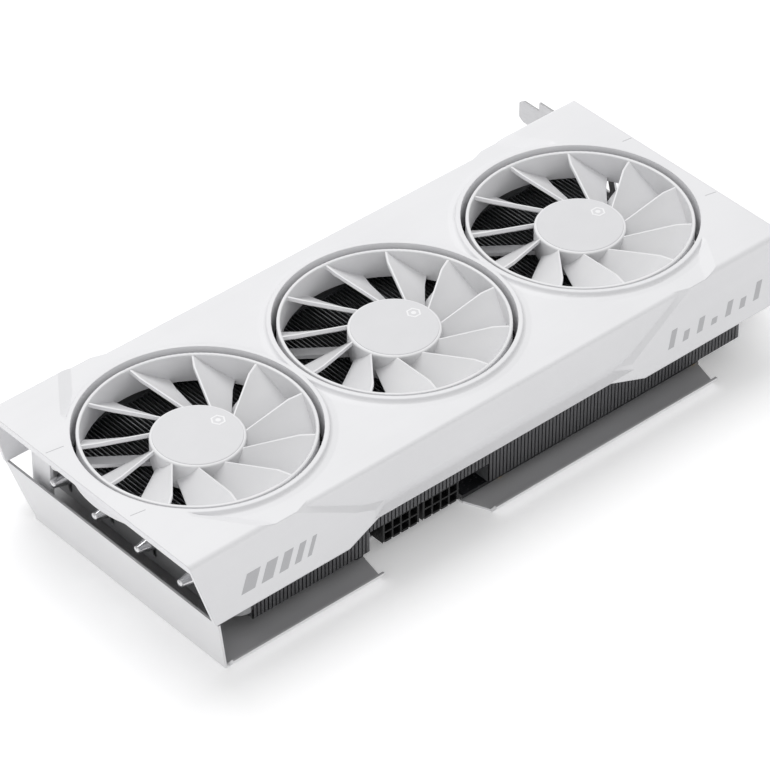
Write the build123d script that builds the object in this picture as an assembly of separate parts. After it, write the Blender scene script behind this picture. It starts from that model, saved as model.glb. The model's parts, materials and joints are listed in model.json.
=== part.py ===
from build123d import *
import os
from math import cos, sin, tan, sqrt, radians, degrees

# Triple-fan graphics card, in millimetres.
# Origin: on the outer back face, below the middle fan's axis.
# +X runs along the card to the slot bracket, +Y to the slot edge, +Z up to the fans.

# ---------------------------------------------------------------- driving sizes
FAN_PITCH = 96.0            # from one fan axis to the next
RING_R = 44.4               # outside of the ring that joins the blade tips
RING_WALL = 1.4
RING_DEPTH = 12.5
HUB_R = 17.9
HUB_WALL = 2.3
BLADES = 11
BLADE_SWEEP = 17.5          # degrees that the leading edge runs ahead, hub to kink
BLADE_KINK_R = 36.5         # past this radius the leading edge is radial
RING_TOP_Z = 50.5
HUB_TOP_Z = 47.1
BLADE_FOOT_Z = 39.2
SHAFT_R = 1.0

TIP_GAP = 2.0               # rotor ring to the wall of the fan opening
LIP_TOP_Z = 51.6            # raised ends and the lips of the fan openings
PLATEAU_Z = 49.6            # lower middle of the cover
SHELL = 1.8                 # wall of the cover
DUCT_FOOT_Z = 37.0
TOP_HALF = 58.5             # half width of the cover at its top
FOOT_HALF = 61.6            # half width at the foot of its end walls
FOOT_END_Z = 21.0
FOOT_MID_Z = 27.3
COVER_LEFT = -148.3
COVER_RIGHT = 147.0
RAKE = 8.8                  # how far the open end leans back at its foot
MID_SET_BACK = 0.9          # middle of the side walls, behind the end walls at the top
RAMP = 3.0                  # slope of the facets between the ends and the middle, per unit of step
TAIL_DUCT_FOOT_Z = 40.0     # the duct stops higher where it crosses the open end

BACK_T = 1.0                # sheet of the backplate
BACK_LEFT = -136.8
BACK_HALF_NEAR = 51.0
BACK_HALF_FAR = 61.0
PANEL_TOP_Z = 20.5
PANEL_LEAN = 1.8
FLANGE_OUT = 11.0           # flange beyond the near edge of the backplate
LIP_OUT = 3.2
LIP_UP = 3.2

BOARD_Z = 2.6               # underside of the board
BOARD_T = 1.6
BOARD_LEFT = -66.0
BOARD_RIGHT = 146.0
BOARD_NEAR = -52.0
BOARD_FAR = 70.5
CORNER_X = (112.0, 118.0)   # past here the near edges of board and backplate step back
CORNER_NEAR = -42.0

FIN_PITCH = 1.8
FIN_T = 0.45
FIN_LEFT = -127.0
FIN_RIGHT = 131.0
FIN_HALF = 55.6
FIN_FOOT_Z = 7.5
FIN_TOP_Z = 33.6
FIN_CORNER_R = 8.0

PIPE_R = 3.0
PIPE_END_Y = (-36.75, -12.25, 12.25, 36.75)
PIPE_BASE_PITCH = 8.0
PIPE_END_Z = 22.5
PIPE_TIP = 8.0              # tapered end that stands out of the end plate

CHIP_X = 30.0               # centre of the processor
PACKAGE = 44.0
DIE = 22.0

SOCKET_PITCH = 4.2          # power contacts
SOCKET_LONG = 18.0
SOCKET_HIGH = 9.6
SOCKET_DEEP = 12.5
SOCKET_FRONT_Y = -53.0
SOCKET_GAP = 1.7
SOCKET_MID_X = -34.0

BRACKET_T = 1.0
SLOT_BODY = 18.42
SLOT_PITCH = 20.32
SLOT_TAB = 10.19
BRACKET_LONG = 120.02
BRACKET_TIP_Y = 89.6
BRACKET_SHOULDER_Y = 78.0

FIT = 0.3                   # clearance between pieces that do not touch
RUN = 0.03                  # radial running clearance of a shaft
SLIP = 0.05                 # radial clearance of a screw in its thread

# ---------------------------------------------------------------- worked out
FANS = {"left": -FAN_PITCH, "middle": 0.0, "right": FAN_PITCH}
OPENING_R = RING_R + TIP_GAP
DUCT_R = OPENING_R + SHELL
CEILING_Z = PLATEAU_Z - 2.4
BOARD_TOP = BOARD_Z + BOARD_T
MOTOR_TOP_Z = DUCT_FOOT_Z   # motor base seats on the foot of the duct
ARM_T = 1.8
WALL_SLOPE = (FOOT_HALF - TOP_HALF) / (LIP_TOP_Z - FOOT_END_Z)
COLD_Z = BOARD_TOP + 2.3    # underside of the cold plate and the memory plate
COLD_T = 2.0
PIPE_BASE_Z = COLD_Z + COLD_T + PIPE_R


# ---------------------------------------------------------------- helpers
def block(x0, x1, y0, y1, z0, z1):
    """A box between two corners."""
    middle = Pos((x0 + x1) / 2, (y0 + y1) / 2, (z0 + z1) / 2)
    return middle * Box(abs(x1 - x0), abs(y1 - y0), abs(z1 - z0))


def rod(x, y, r, z0, z1):
    """An upright cylinder."""
    return Pos(x, y, (z0 + z1) / 2) * Cylinder(r, z1 - z0)


def outline(points, radii, place):
    """A flat face round the points, its corners rounded where a radius is given."""
    count = len(points)
    edges = []
    starts = []
    ends = []
    for i, corner in enumerate(points):
        here = Vector(*corner)
        r = radii[i] if radii else 0
        if not r:
            starts.append(here)
            ends.append(here)
            continue
        to_last = (Vector(*points[i - 1]) - here).normalized()
        to_next = (Vector(*points[(i + 1) % count]) - here).normalized()
        half = radians(to_last.get_angle(to_next)) / 2
        run = r / tan(half)
        bisector = (to_last + to_next).normalized()
        centre = here + bisector * (r / sin(half))
        a = here + to_last * run
        b = here + to_next * run
        mid = centre - bisector * r
        starts.append(a)
        ends.append(b)
        edges.append(Edge.make_three_point_arc(place(a), place(mid), place(b)))
    for i in range(count):
        a = ends[i]
        b = starts[(i + 1) % count]
        if (b - a).length > 1e-6:
            edges.append(Edge.make_line(place(a), place(b)))
    return Face(Wire(edges))


def plan(points, z0, z1, radii=None):
    """A prism with its outline in plan."""
    face = outline(points, radii, lambda p: Vector(p.X, p.Y, z0))
    return extrude(face, amount=z1 - z0, dir=(0, 0, 1))


def side(points, y0, y1, radii=None):
    """A prism with its outline in X and Z."""
    face = outline(points, radii, lambda p: Vector(p.X, y0, p.Y))
    return extrude(face, amount=y1 - y0, dir=(0, 1, 0))


def section(points, x0, x1, radii=None):
    """A prism with its outline in Y and Z."""
    face = outline(points, radii, lambda p: Vector(x0, p.X, p.Y))
    return extrude(face, amount=x1 - x0, dir=(1, 0, 0))


def turned(points, x=0.0, y=0.0, radii=None):
    """A solid turned about an upright axis from points of (radius, height)."""
    face = outline(points, radii, lambda p: Vector(p.X, 0, p.Y))
    return Pos(x, y, 0) * revolve(face, Axis.Z)


def around(x, radius, start, count):
    """Places on a circle about the fan axis at x."""
    for i in range(count):
        a = radians(start + i * 360 / count)
        yield x + radius * cos(a), radius * sin(a), degrees(a)


def save(name, shape):
    """Write one piece, or one group of equal pieces."""
    solids = shape if isinstance(shape, list) else [shape]
    loose = [s for item in solids for s in item.solids()]
    export_step(loose[0] if len(loose) == 1 else Compound(loose), f"parts/{name}.step")


# ---------------------------------------------------------------- fan rotors
BLADE_TIP_Z = RING_TOP_Z - 0.5
BLADE_T = 1.1
BLADE_RIM = 0.8


def blade_section(r, lead, top, chord, twist_drop):
    """One flat section of a blade, square to the radius, with a flat rim on its leading edge."""
    middle = radians(lead) - chord / 2 / r
    out = Vector(cos(middle), sin(middle), 0)
    along = Vector(sin(middle), -cos(middle), 0)
    base = out * r

    def at(u, z):
        return base + along * (u - chord / 2) + Vector(0, 0, z)

    foot = BLADE_FOOT_Z
    rise = top - foot
    belly = foot + rise * twist_drop
    rim = Edge.make_line(at(0, top), at(BLADE_RIM, top))
    upper = Edge.make_spline([at(BLADE_RIM, top), at(chord * 0.45, belly + BLADE_T),
                              at(chord, foot + 0.5)])
    lower = Edge.make_spline([at(chord, foot), at(chord * 0.42, belly - 0.3), at(0, top - 1.5)])
    nose = Edge.make_line(at(0, top - 1.5), at(0, top))
    tail = Edge.make_line(at(chord, foot + 0.5), at(chord, foot))
    return Wire([rim, upper, tail, lower, nose])


def blade(start):
    """A swept blade: its leading edge runs ahead to the kink and is radial past it."""
    root_r = HUB_R - HUB_WALL / 2
    tip_r = RING_R - RING_WALL + 0.25
    rows = [(root_r, 0.0, HUB_TOP_Z - 0.6, 8.6, 0.44),
            (BLADE_KINK_R, BLADE_SWEEP, BLADE_TIP_Z - 0.4, 14.6, 0.42),
            (tip_r, BLADE_SWEEP + 0.6, BLADE_TIP_Z, 16.4, 0.40)]
    wires = [blade_section(r, start + a, top, chord, drop) for r, a, top, chord, drop in rows]
    return Solid.make_loft(wires, True)


def rotor():
    """Hub cup, blades and tip ring in one moulding."""
    cup_foot = MOTOR_TOP_Z + 0.6
    inner = HUB_R - HUB_WALL
    roof = HUB_TOP_Z - 1.8
    boss_r = 3.2
    hub = turned([(SHAFT_R, roof - 2.0), (boss_r, roof - 2.0), (boss_r, roof), (inner, roof),
                  (inner, cup_foot), (HUB_R, cup_foot), (HUB_R, HUB_TOP_Z), (SHAFT_R, HUB_TOP_Z)],
                 radii=[0, 0, 0, 0, 0, 0, 0.8, 0])
    ring = turned([(RING_R - RING_WALL, RING_TOP_Z - RING_DEPTH), (RING_R, RING_TOP_Z - RING_DEPTH),
                   (RING_R, RING_TOP_Z), (RING_R - RING_WALL, RING_TOP_Z)], radii=[0, 0, 0.5, 0.5])
    blades = [blade(-30.0 + i * 360 / BLADES) for i in range(BLADES)]
    return hub.fuse(ring, *blades)


def fan_pieces():
    """Every piece of one fan about the origin, the turning ones first."""
    inner = HUB_R - HUB_WALL
    roof = HUB_TOP_Z - 1.8
    tube_r = 3.6
    sleeve_r = 2.5
    floor = MOTOR_TOP_Z - 0.4
    sleeve_top = roof - 2.4
    magnet_in = inner - 1.9
    pieces = {"fan_rotor": rotor()}
    pieces["hub_disc"] = turned([(0, HUB_TOP_Z), (HUB_R - 1.0, HUB_TOP_Z),
                                 (HUB_R - 1.2, HUB_TOP_Z + 0.25), (0, HUB_TOP_Z + 0.25)])
    pieces["rotor_magnet"] = turned([(magnet_in, roof - 6.6), (inner, roof - 6.6),
                                     (inner, roof), (magnet_in, roof)])
    pieces["fan_shaft"] = rod(0, 0, SHAFT_R, floor + 0.2, HUB_TOP_Z)
    pieces["fan_bearing"] = (rod(0, 0, sleeve_r, floor, sleeve_top)
                             - rod(0, 0, SHAFT_R + RUN, floor - 1, sleeve_top + 1))
    core_z0 = floor + 1.6
    core_z1 = core_z0 + 4.0
    pole_end = magnet_in - 0.5
    core = rod(0, 0, 6.4, core_z0, core_z1)
    shoe = turned([(pole_end - 1.0, core_z0), (pole_end, core_z0), (pole_end, core_z1),
                   (pole_end - 1.0, core_z1)])
    coils = []
    for i in range(6):
        turn = Rot(0, 0, i * 60)
        core += turn * block(5, pole_end - 0.5, -1.3, 1.3, core_z0, core_z1)
        shoe -= turn * Rot(0, 0, 30) * block(5, pole_end + 2, -1.2, 1.2, core_z0 - 1, core_z1 + 1)
        coil = block(6.8, pole_end - 1.3, -2.4, 2.4, core_z0 - 0.9, core_z1 + 0.9)
        coils.append(turn * (coil - block(5, pole_end, -1.3, 1.3, core_z0, core_z1)))
    pieces["stator"] = [core + shoe - rod(0, 0, tube_r, 0, 60)] + coils
    pieces["motor_base"] = motor_base(tube_r, sleeve_r, floor, sleeve_top)
    return pieces


ARM_START = 22.0
EAR_R = DUCT_R + 2.4
SCREW_R = 1.0


def motor_base(tube_r, sleeve_r, floor, sleeve_top):
    """Round base with a bearing tube and three arms that end in screw ears."""
    z0 = MOTOR_TOP_Z - ARM_T
    base = rod(0, 0, HUB_R - 0.6, z0, MOTOR_TOP_Z) + rod(0, 0, tube_r, z0, sleeve_top)
    for ex, ey, a in around(0, EAR_R, ARM_START, 3):
        base += Rot(0, 0, a) * block(HUB_R - 3, EAR_R, -2.2, 2.2, z0, MOTOR_TOP_Z)
        base += rod(ex, ey, 3.4, z0, MOTOR_TOP_Z)
    for ex, ey, a in around(0, EAR_R, ARM_START, 3):
        base -= rod(ex, ey, SCREW_R + 0.2, z0 - 1, MOTOR_TOP_Z + 1)
    return base - rod(0, 0, sleeve_r, floor, sleeve_top + 1)


def pan_screw(x, y, seat, reach, r=SCREW_R, head_r=2.0, head=1.3):
    """A screw whose head lies under seat and whose shank runs up to reach."""
    return rod(x, y, head_r, seat - head, seat) + rod(x, y, r, seat - 0.2, reach)


# ---------------------------------------------------------------- cover
COVER_BOSSES = [(bx, s * 48.0) for bx in (-118.0, -48.0, 48.0, 118.0) for s in (-1, 1)]
BOSS_R = 3.2
SCREW_BITE = 5.0
PLATEAU_LEFT = -103.0       # corners of the lower middle of the top, at its own level
PLATEAU_TAIL = -123.6
PLATEAU_RIGHT = 101.0
PLATEAU_HEAD = 115.7
HOLLOWS = [(-170, -104, CEILING_Z), (-104, -77, FOOT_MID_Z + 4),    # end walls are thinned inside
           (77, 104, FOOT_MID_Z + 4), (104, 170, CEILING_Z)]


def rake_x(z):
    """X of the open end at a height."""
    return COVER_LEFT + RAKE * (LIP_TOP_Z - z) / (LIP_TOP_Z - FOOT_END_Z)


def wall_y(z):
    """Half width of the outside of the end walls at a height."""
    return TOP_HALF + (LIP_TOP_Z - z) * WALL_SLOPE


def mid_section():
    """The outside of the middle of the cover: upright wall, groove and flared foot."""
    crease_z = FOOT_MID_Z + 6.2
    groove_z = FOOT_MID_Z + 1.9
    top_half = TOP_HALF - MID_SET_BACK
    half = [(FOOT_HALF, FOOT_END_Z - 5), (FOOT_HALF, FOOT_MID_Z), (top_half + 0.5, groove_z),
            (top_half + 1.2, crease_z), (top_half, PLATEAU_Z)]
    other = [(-y, z) for y, z in reversed(half)]
    return section(half + other, -160, 160, [0, 0, 1.2, 1.2, 1.5, 1.5, 1.2, 1.2, 0, 0])


def ramped(left, right, low, high, grow_low, grow_high, place):
    """A solid whose outline grows evenly from low to high, to the left and to the right."""
    wires = []
    for level, grow in ((low, grow_low), (high, grow_high)):
        points = [(x - grow, v) for x, v in left] + [(x + grow, v) for x, v in right]
        wires.append(Wire.make_polygon([place(x, v, level) for x, v in points], close=True))
    return Solid.make_loft(wires, True)


def mid_stretch(s):
    """What is taken off one side wall so that its middle is set back between sloping facets."""
    top = LIP_TOP_Z + 2
    left = [(-107.0, top), (-67.0, 35.0), (-57.0, 31.5), (-55.0, FOOT_END_Z - 4)]
    right = [(58.0, FOOT_END_Z - 4), (60.0, 30.5), (105.0, top)]
    inner = FIN_HALF - 1
    outer = FOOT_HALF + 2
    return ramped(left, right, inner, outer, RAMP * (inner - TOP_HALF), RAMP * (outer - TOP_HALF),
                  lambda x, z, y: Vector(x, s * y, z))


def plateau():
    """What is taken off the top so that its middle lies below the raised ends."""
    left = [(PLATEAU_LEFT, 66), (PLATEAU_TAIL, 37.8), (PLATEAU_TAIL, -37.8), (PLATEAU_LEFT, -66)]
    right = [(PLATEAU_RIGHT, -66), (PLATEAU_HEAD, -43), (PLATEAU_HEAD, 43), (PLATEAU_RIGHT, 66)]
    rise = LIP_TOP_Z + 1 - PLATEAU_Z
    return ramped(left, right, PLATEAU_Z, PLATEAU_Z + rise, 0, RAMP * rise,
                  lambda x, y, z: Vector(x, y, z))


def lip(x):
    """Raised lip round a fan opening, hollow on its outer side."""
    r = OPENING_R
    top = LIP_TOP_Z
    return turned([(r - 1, CEILING_Z), (r + 5.0, CEILING_Z), (r + 5.0, PLATEAU_Z),
                   (r + 2.2, PLATEAU_Z + 0.5), (r + 1.8, top), (r - 1, top)],
                  x, radii=[0, 0, 0, 1.2, 0.5, 0])


def cover():
    """The moulded cover, open underneath and at the end away from the bracket."""
    body = section([(-FOOT_HALF, FOOT_END_Z), (-TOP_HALF, LIP_TOP_Z), (TOP_HALF, LIP_TOP_Z),
                    (FOOT_HALF, FOOT_END_Z)], COVER_LEFT, COVER_RIGHT, [0, 2.0, 2.0, 0])
    low = FOOT_END_Z - 5
    high = LIP_TOP_Z + 5
    body -= side([(COVER_LEFT - 9, low), (rake_x(low), low), (rake_x(high), high),
                  (COVER_LEFT - 9, high)], -80, 80)
    middle = mid_section()
    for s in (-1, 1):
        body -= mid_stretch(s) - middle
    body -= plateau()
    foot = [(COVER_LEFT - 9, FOOT_END_Z), (-76.3, FOOT_END_Z), (-61.8, FOOT_MID_Z),
            (54.8, FOOT_MID_Z), (72.5, FOOT_END_Z), (COVER_RIGHT + 5, FOOT_END_Z),
            (COVER_RIGHT + 5, 0), (COVER_LEFT - 9, 0)]
    body -= side(foot, -80, 80)
    body -= block(-170, 170, -FIN_HALF - FIT, FIN_HALF + FIT, 0, CEILING_Z)
    for x0, x1, ceiling in HOLLOWS:
        y_top = wall_y(ceiling) - SHELL
        y_foot = wall_y(FOOT_END_Z - 2) - SHELL
        body -= section([(-y_foot, FOOT_END_Z - 2), (-y_top, ceiling), (y_top, ceiling),
                         (y_foot, FOOT_END_Z - 2)], x0, x1)
    for x in FANS.values():
        body += rod(x, 0, DUCT_R, DUCT_FOOT_Z, CEILING_Z + 0.5)
        body += lip(x) & block(COVER_LEFT, COVER_RIGHT, -80, 80, 0, 60)
        for ex, ey, a in around(x, EAR_R, ARM_START, 3):
            body += rod(ex, ey, BOSS_R, DUCT_FOOT_Z, CEILING_Z + 0.5)
    for bx, by in COVER_BOSSES:
        body += rod(bx, by, BOSS_R, RAIL_TOP_Z, CEILING_Z + 0.5)
    body -= block(COVER_LEFT - 9, FIN_LEFT - 3, -80, 80, 0, TAIL_DUCT_FOOT_Z) & rod(
        FANS["left"], 0, DUCT_R + 0.5, 0, TAIL_DUCT_FOOT_Z)
    for x in FANS.values():
        body -= rod(x, 0, OPENING_R, 0, 60)
        for ex, ey, a in around(x, EAR_R, ARM_START, 3):
            body -= rod(ex, ey, SCREW_R + SLIP, DUCT_FOOT_Z - 1, DUCT_FOOT_Z + SCREW_BITE)
    for bx, by in COVER_BOSSES:
        body -= rod(bx, by, SCREW_R + SLIP, RAIL_TOP_Z - 1, RAIL_TOP_Z + SCREW_BITE)
    return body + corner_guide()


def corner_guide():
    """Curved wall that closes the far corner of the open end beside the fin stack."""
    bend = 12.0
    far = TOP_HALF
    front = FIN_LEFT - 7.5
    back = front + bend
    wall = 1.5
    z0 = FOOT_END_Z - 8
    outer = plan([(front, far - bend - 7), (front, far), (back, far), (back, far - bend - 7)],
                 z0, CEILING_Z + 0.5, [0, bend - 0.01, 0, 0])
    inner = plan([(front + wall, far - bend - 8), (front + wall, far - wall),
                  (back + 1, far - wall), (back + 1, far - bend - 8)],
                 z0 - 1, CEILING_Z + 1, [0, bend - wall, 0, 0])
    return outer - inner - rod(FANS["left"], 0, OPENING_R, 0, 60)


# ---------------------------------------------------------------- cooler
RAIL_T = 0.6
RAIL_TOP_Z = FIN_TOP_Z + RAIL_T
RAIL_Y = 48.0
FOOT_RAIL_Y = 49.5
POCKET_X = (-50.0, 104.0)
POCKET_HALF = 42.0
POCKET_TOP_Z = 27.0
BAY_X = (-61.5, -3.0)         # the fins stand back here for the power sockets
BAY_TOP_Z = 16.5
END_FOOT_Z = 12.0           # the first fins and the end plate stop higher
END_FOOT_X = -118.6
BAY_NEAR = SOCKET_FRONT_Y + SOCKET_DEEP + 1.0
STANDOFFS = [(-62.0, FOOT_RAIL_Y), (20.0, FOOT_RAIL_Y), (110.0, FOOT_RAIL_Y),
             (8.0, -FOOT_RAIL_Y + 1), (110.0, -FOOT_RAIL_Y + 1)]


def fin_reach(x):
    """Half length of the fin at x: the first few follow the rounded corners."""
    inset = FIN_CORNER_R - (x - FIN_LEFT)
    if inset <= 0:
        return FIN_HALF
    return FIN_HALF - FIN_CORNER_R + sqrt(max(FIN_CORNER_R ** 2 - inset ** 2, 0))


def fin_stack():
    """One comb: upright fins joined by a centre web and by rails, cut for the pipes."""
    count = int((FIN_RIGHT - FIN_LEFT) / FIN_PITCH)
    places = [FIN_LEFT + 0.4 + i * FIN_PITCH for i in range(count)]
    web = 0.25
    near = []
    far = []
    for x in places:
        reach = fin_reach(x)
        near += [(x, -web), (x, -reach), (x + FIN_T, -reach), (x + FIN_T, -web)]
        far += [(x, web), (x, reach), (x + FIN_T, reach), (x + FIN_T, web)]
    stack = plan(near + far[::-1], FIN_FOOT_Z, FIN_TOP_Z)
    cuts = [block(*POCKET_X, -POCKET_HALF, POCKET_HALF, 0, POCKET_TOP_Z),
            block(*BAY_X, -FIN_HALF - 1, BAY_NEAR, 0, BAY_TOP_Z),
            block(FIN_LEFT - 1, END_FOOT_X, -FIN_HALF - 1, FIN_HALF + 1, 0, END_FOOT_Z)]
    for y in PIPE_END_Y:
        cuts.append(Pos(0, y, PIPE_END_Z) * Rot(0, 90, 0) * Cylinder(PIPE_R, 400))
    stack = stack.cut(*cuts)
    last = places[-1]
    rails = []
    for s in (-1, 1):
        rails.append(block(-124, last, s * RAIL_Y - 4, s * RAIL_Y + 4, FIN_TOP_Z - 0.3, RAIL_TOP_Z))
        start = BOARD_LEFT if s > 0 else BAY_X[1] + 4
        rails.append(block(start, last, s * FOOT_RAIL_Y - 3, s * FOOT_RAIL_Y + 3,
                           FIN_FOOT_Z - RAIL_T, FIN_FOOT_Z + 0.3))
    stack = stack.fuse(*rails)
    holes = [rod(sx, sy, SCREW_R + 0.4, FIN_FOOT_Z - 1, FIN_FOOT_Z + 2.5) for sx, sy in STANDOFFS]
    for bx, by in COVER_BOSSES:
        holes.append(rod(bx, by, BOSS_R + 1.2, FIN_TOP_Z - 4.0, FIN_TOP_Z - 0.3))
        holes.append(rod(bx, by, SCREW_R + 0.2, FIN_TOP_Z - 1, RAIL_TOP_Z + 1))
    return stack.cut(*holes)


def end_plate():
    """Closed sheet on the last fin, with rounded corners, pipe holes and keyholes."""
    sheet = 0.6
    x0 = FIN_LEFT - sheet
    x1 = FIN_LEFT + FIN_CORNER_R
    y0 = FIN_HALF + 0.1
    outer = [(x0, -y0 - sheet), (x0, y0 + sheet), (x1, y0 + sheet), (x1, -y0 - sheet)]
    inner = [(FIN_LEFT, -y0), (FIN_LEFT, y0), (x1 + 1, y0), (x1 + 1, -y0)]
    r = FIN_CORNER_R
    top = FIN_TOP_Z - 0.4
    plate = plan(outer, END_FOOT_Z, top, [r + sheet, r + sheet, 0, 0])
    plate -= plan(inner, END_FOOT_Z - 1, top + 1, [r, r, 0, 0])
    plate &= block(-140, x1, -FIN_HALF - 0.8, FIN_HALF + 0.8, 0, 60)
    for y in PIPE_END_Y:
        plate -= Pos(FIN_LEFT, y, PIPE_END_Z) * Rot(0, 90, 0) * Cylinder(PIPE_R + SLIP, 4)
        slot_foot = PIPE_END_Z - PIPE_R - 5.0
        slot_top = PIPE_END_Z - PIPE_R + 0.6
        plate -= section([(y - 1.2, slot_foot), (y - 1.2, slot_top), (y + 1.2, slot_top),
                          (y + 1.2, slot_foot)], x0 - 1, FIN_LEFT + 0.1, [1.1, 0, 0, 1.1])
    return plate


def heat_pipe(index):
    """Round pipe: low over the processor, raised through the fins, tapered at its free end."""
    y_end = PIPE_END_Y[index]
    y_base = (index - 1.5) * PIPE_BASE_PITCH
    left = FIN_LEFT - 1.0
    right = FIN_RIGHT - 4.0
    points = [(left, y_end, PIPE_END_Z), (POCKET_X[0] + 7, y_end, PIPE_END_Z),
              (CHIP_X - 42, y_base, PIPE_BASE_Z), (CHIP_X + 42, y_base, PIPE_BASE_Z),
              (POCKET_X[1] - 8, y_end, PIPE_END_Z), (right, y_end, PIPE_END_Z)]
    path = FilletPolyline(*points, radius=14)
    start = Plane(origin=points[0], x_dir=(0, 1, 0), z_dir=(1, 0, 0))
    pipe = sweep(start * Circle(PIPE_R), path=path)
    tip = Pos(left - PIPE_TIP / 2, y_end, PIPE_END_Z) * Rot(0, -90, 0) * Cone(PIPE_R, 1.0, PIPE_TIP)
    return pipe + tip


def base_block():
    """Aluminium block that presses the pipes on the cold plate."""
    z0 = COLD_Z + COLD_T
    half_x = 30.0
    half_y = PIPE_BASE_PITCH * 2 + 5
    body = block(CHIP_X - half_x, CHIP_X + half_x, -half_y, half_y, z0, z0 + 2 * PIPE_R + 1.5)
    for i in range(4):
        y = (i - 1.5) * PIPE_BASE_PITCH
        body -= Pos(CHIP_X, y, PIPE_BASE_Z) * Rot(0, 90, 0) * Cylinder(PIPE_R, 90)
        body -= block(CHIP_X - 40, CHIP_X + 40, y - 1.2, y + 1.2, z0 - 1, PIPE_BASE_Z)
    return body


CLAMP_HALF = 27.5
PLATE_HALF_X = 47.0
PLATE_HALF_Y = 40.0
COLD_HALF = 24.0
BOARD_SCREW_R = 1.2


def corners(half_x, half_y, x=CHIP_X, y=0.0):
    """The four corners of a rectangle."""
    return [(x + sx * half_x, y + sy * half_y) for sx in (-1, 1) for sy in (-1, 1)]


def memory_plate():
    """Flat frame round the cold plate that lies on the memory chips."""
    h = COLD_HALF + FIT
    plate = block(CHIP_X - PLATE_HALF_X, CHIP_X + PLATE_HALF_X, -PLATE_HALF_Y, PLATE_HALF_Y,
                  COLD_Z, COLD_Z + COLD_T)
    plate -= block(CHIP_X - h, CHIP_X + h, -h, h, 0, 20)
    for x, y in corners(CLAMP_HALF, CLAMP_HALF):
        plate -= rod(x, y, BOARD_SCREW_R + SLIP, 0, 20)
    return plate


def chip_places():
    """Memory chips on three sides of the processor."""
    spots = [(CHIP_X + dx, s * 34.0) for dx in (-18.0, 0.0, 18.0) for s in (-1, 1)]
    return spots + [(CHIP_X + 38.5, -9.0), (CHIP_X + 38.5, 9.0)]


def tray(places, size_x, size_y, z0, z1):
    """Equal blocks, one at each place."""
    return [block(x - size_x / 2, x + size_x / 2, y - size_y / 2, y + size_y / 2, z0, z1)
            for x, y in places]


REG_X = (-38.0, 90.0)       # centre lines of the two rows of regulator phases
REG_Y = [-30.0 + i * 10.0 for i in range(7)]
CHOKE = 7.0
CHOKE_H = 4.0
PAD_T = 1.0


# ---------------------------------------------------------------- board and its parts
EDGE_X = (62.0, 144.0)      # slot edge contacts
EDGE_Y = 78.8
EDGE_NOTCH = 14.5


def board():
    """Printed board with its slot edge, notch and screw holes."""
    plate = plan([(BOARD_LEFT, BOARD_NEAR), (CORNER_X[0], BOARD_NEAR), (CORNER_X[1], CORNER_NEAR),
                  (BOARD_RIGHT, CORNER_NEAR), (BOARD_RIGHT, BOARD_FAR), (BOARD_LEFT, BOARD_FAR)],
                 BOARD_Z, BOARD_TOP, [2, 2, 2, 2, 2, 2])
    for x0, x1 in edge_runs():
        plate += block(x0, x1, BOARD_FAR - 1, EDGE_Y, BOARD_Z, BOARD_TOP)
    plate -= block(BAY_X[0], SOCKET_BAY_RIGHT, BOARD_NEAR - 1, SOCKET_FRONT_Y + 7.5, 0, 9)
    for x, y in corners(CLAMP_HALF, CLAMP_HALF):
        plate -= rod(x, y, BOARD_SCREW_R + 0.4, 0, 9)
    for x, y in STANDOFFS:
        plate -= rod(x, y, SCREW_R + 0.3, 0, 9)
    for x, y in BRACKET_LUGS:
        plate -= rod(x, y, SCREW_R + 0.3, 0, 9)
    return plate


def edge_runs():
    """The two runs of the slot edge, each side of the key notch."""
    x0, x1 = EDGE_X
    return [(x0, x1 - EDGE_NOTCH), (x1 - EDGE_NOTCH + 1.9, x1)]


def slot_contacts():
    """Gold contact strips on both faces of the slot edge."""
    strips = []
    for x0, x1 in edge_runs():
        count = int((x1 - x0 - 1.0) / 2.0)
        for i in range(count):
            x = x0 + 0.9 + i * 2.0
            for z in (BOARD_TOP, BOARD_Z - 0.05):
                strips.append(block(x, x + 1.4, EDGE_Y - 5.2, EDGE_Y - 0.6, z, z + 0.05))
    return strips


# ---------------------------------------------------------------- power sockets
SOCKET_BAY_RIGHT = -12.4    # board and backplate are cut back under the sockets' mouths


def socket_x(side_sign):
    """Centre of one power socket."""
    return SOCKET_MID_X + side_sign * (SOCKET_LONG + SOCKET_GAP) / 2


def socket_cells(x):
    """Centres of the eight cells of a socket, in X and Z."""
    mid_z = BOARD_TOP + 0.2 + SOCKET_HIGH / 2
    for i in range(4):
        for j in (-0.5, 0.5):
            yield x + (i - 1.5) * SOCKET_PITCH, mid_z + j * SOCKET_PITCH


def power_socket(x):
    """Eight-way socket lying on the board, its mouth to the near side."""
    z0 = BOARD_TOP
    back = SOCKET_FRONT_Y + SOCKET_DEEP
    half = SOCKET_LONG / 2
    body = block(x - half, x + half, SOCKET_FRONT_Y, back, z0 + 0.2, z0 + 0.2 + SOCKET_HIGH)
    body += block(x - half + 2, x + half - 2, SOCKET_FRONT_Y + 4, back, z0, z0 + 0.4)
    body += block(x - 1.9, x + 1.9, SOCKET_FRONT_Y + 1.5, SOCKET_FRONT_Y + 4.5,
                  z0 + SOCKET_HIGH, z0 + SOCKET_HIGH + 1.3)
    for cx, cz in socket_cells(x):
        body -= block(cx - 1.75, cx + 1.75, SOCKET_FRONT_Y - 1, back - 2.5, cz - 1.75, cz + 1.75)
    for i in range(5):
        cx = x + (i - 2) * SOCKET_PITCH
        body -= block(cx - 0.5, cx + 0.5, SOCKET_FRONT_Y - 1, SOCKET_FRONT_Y + 6,
                      z0 + 0.1, z0 + 0.8)
    return body


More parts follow.
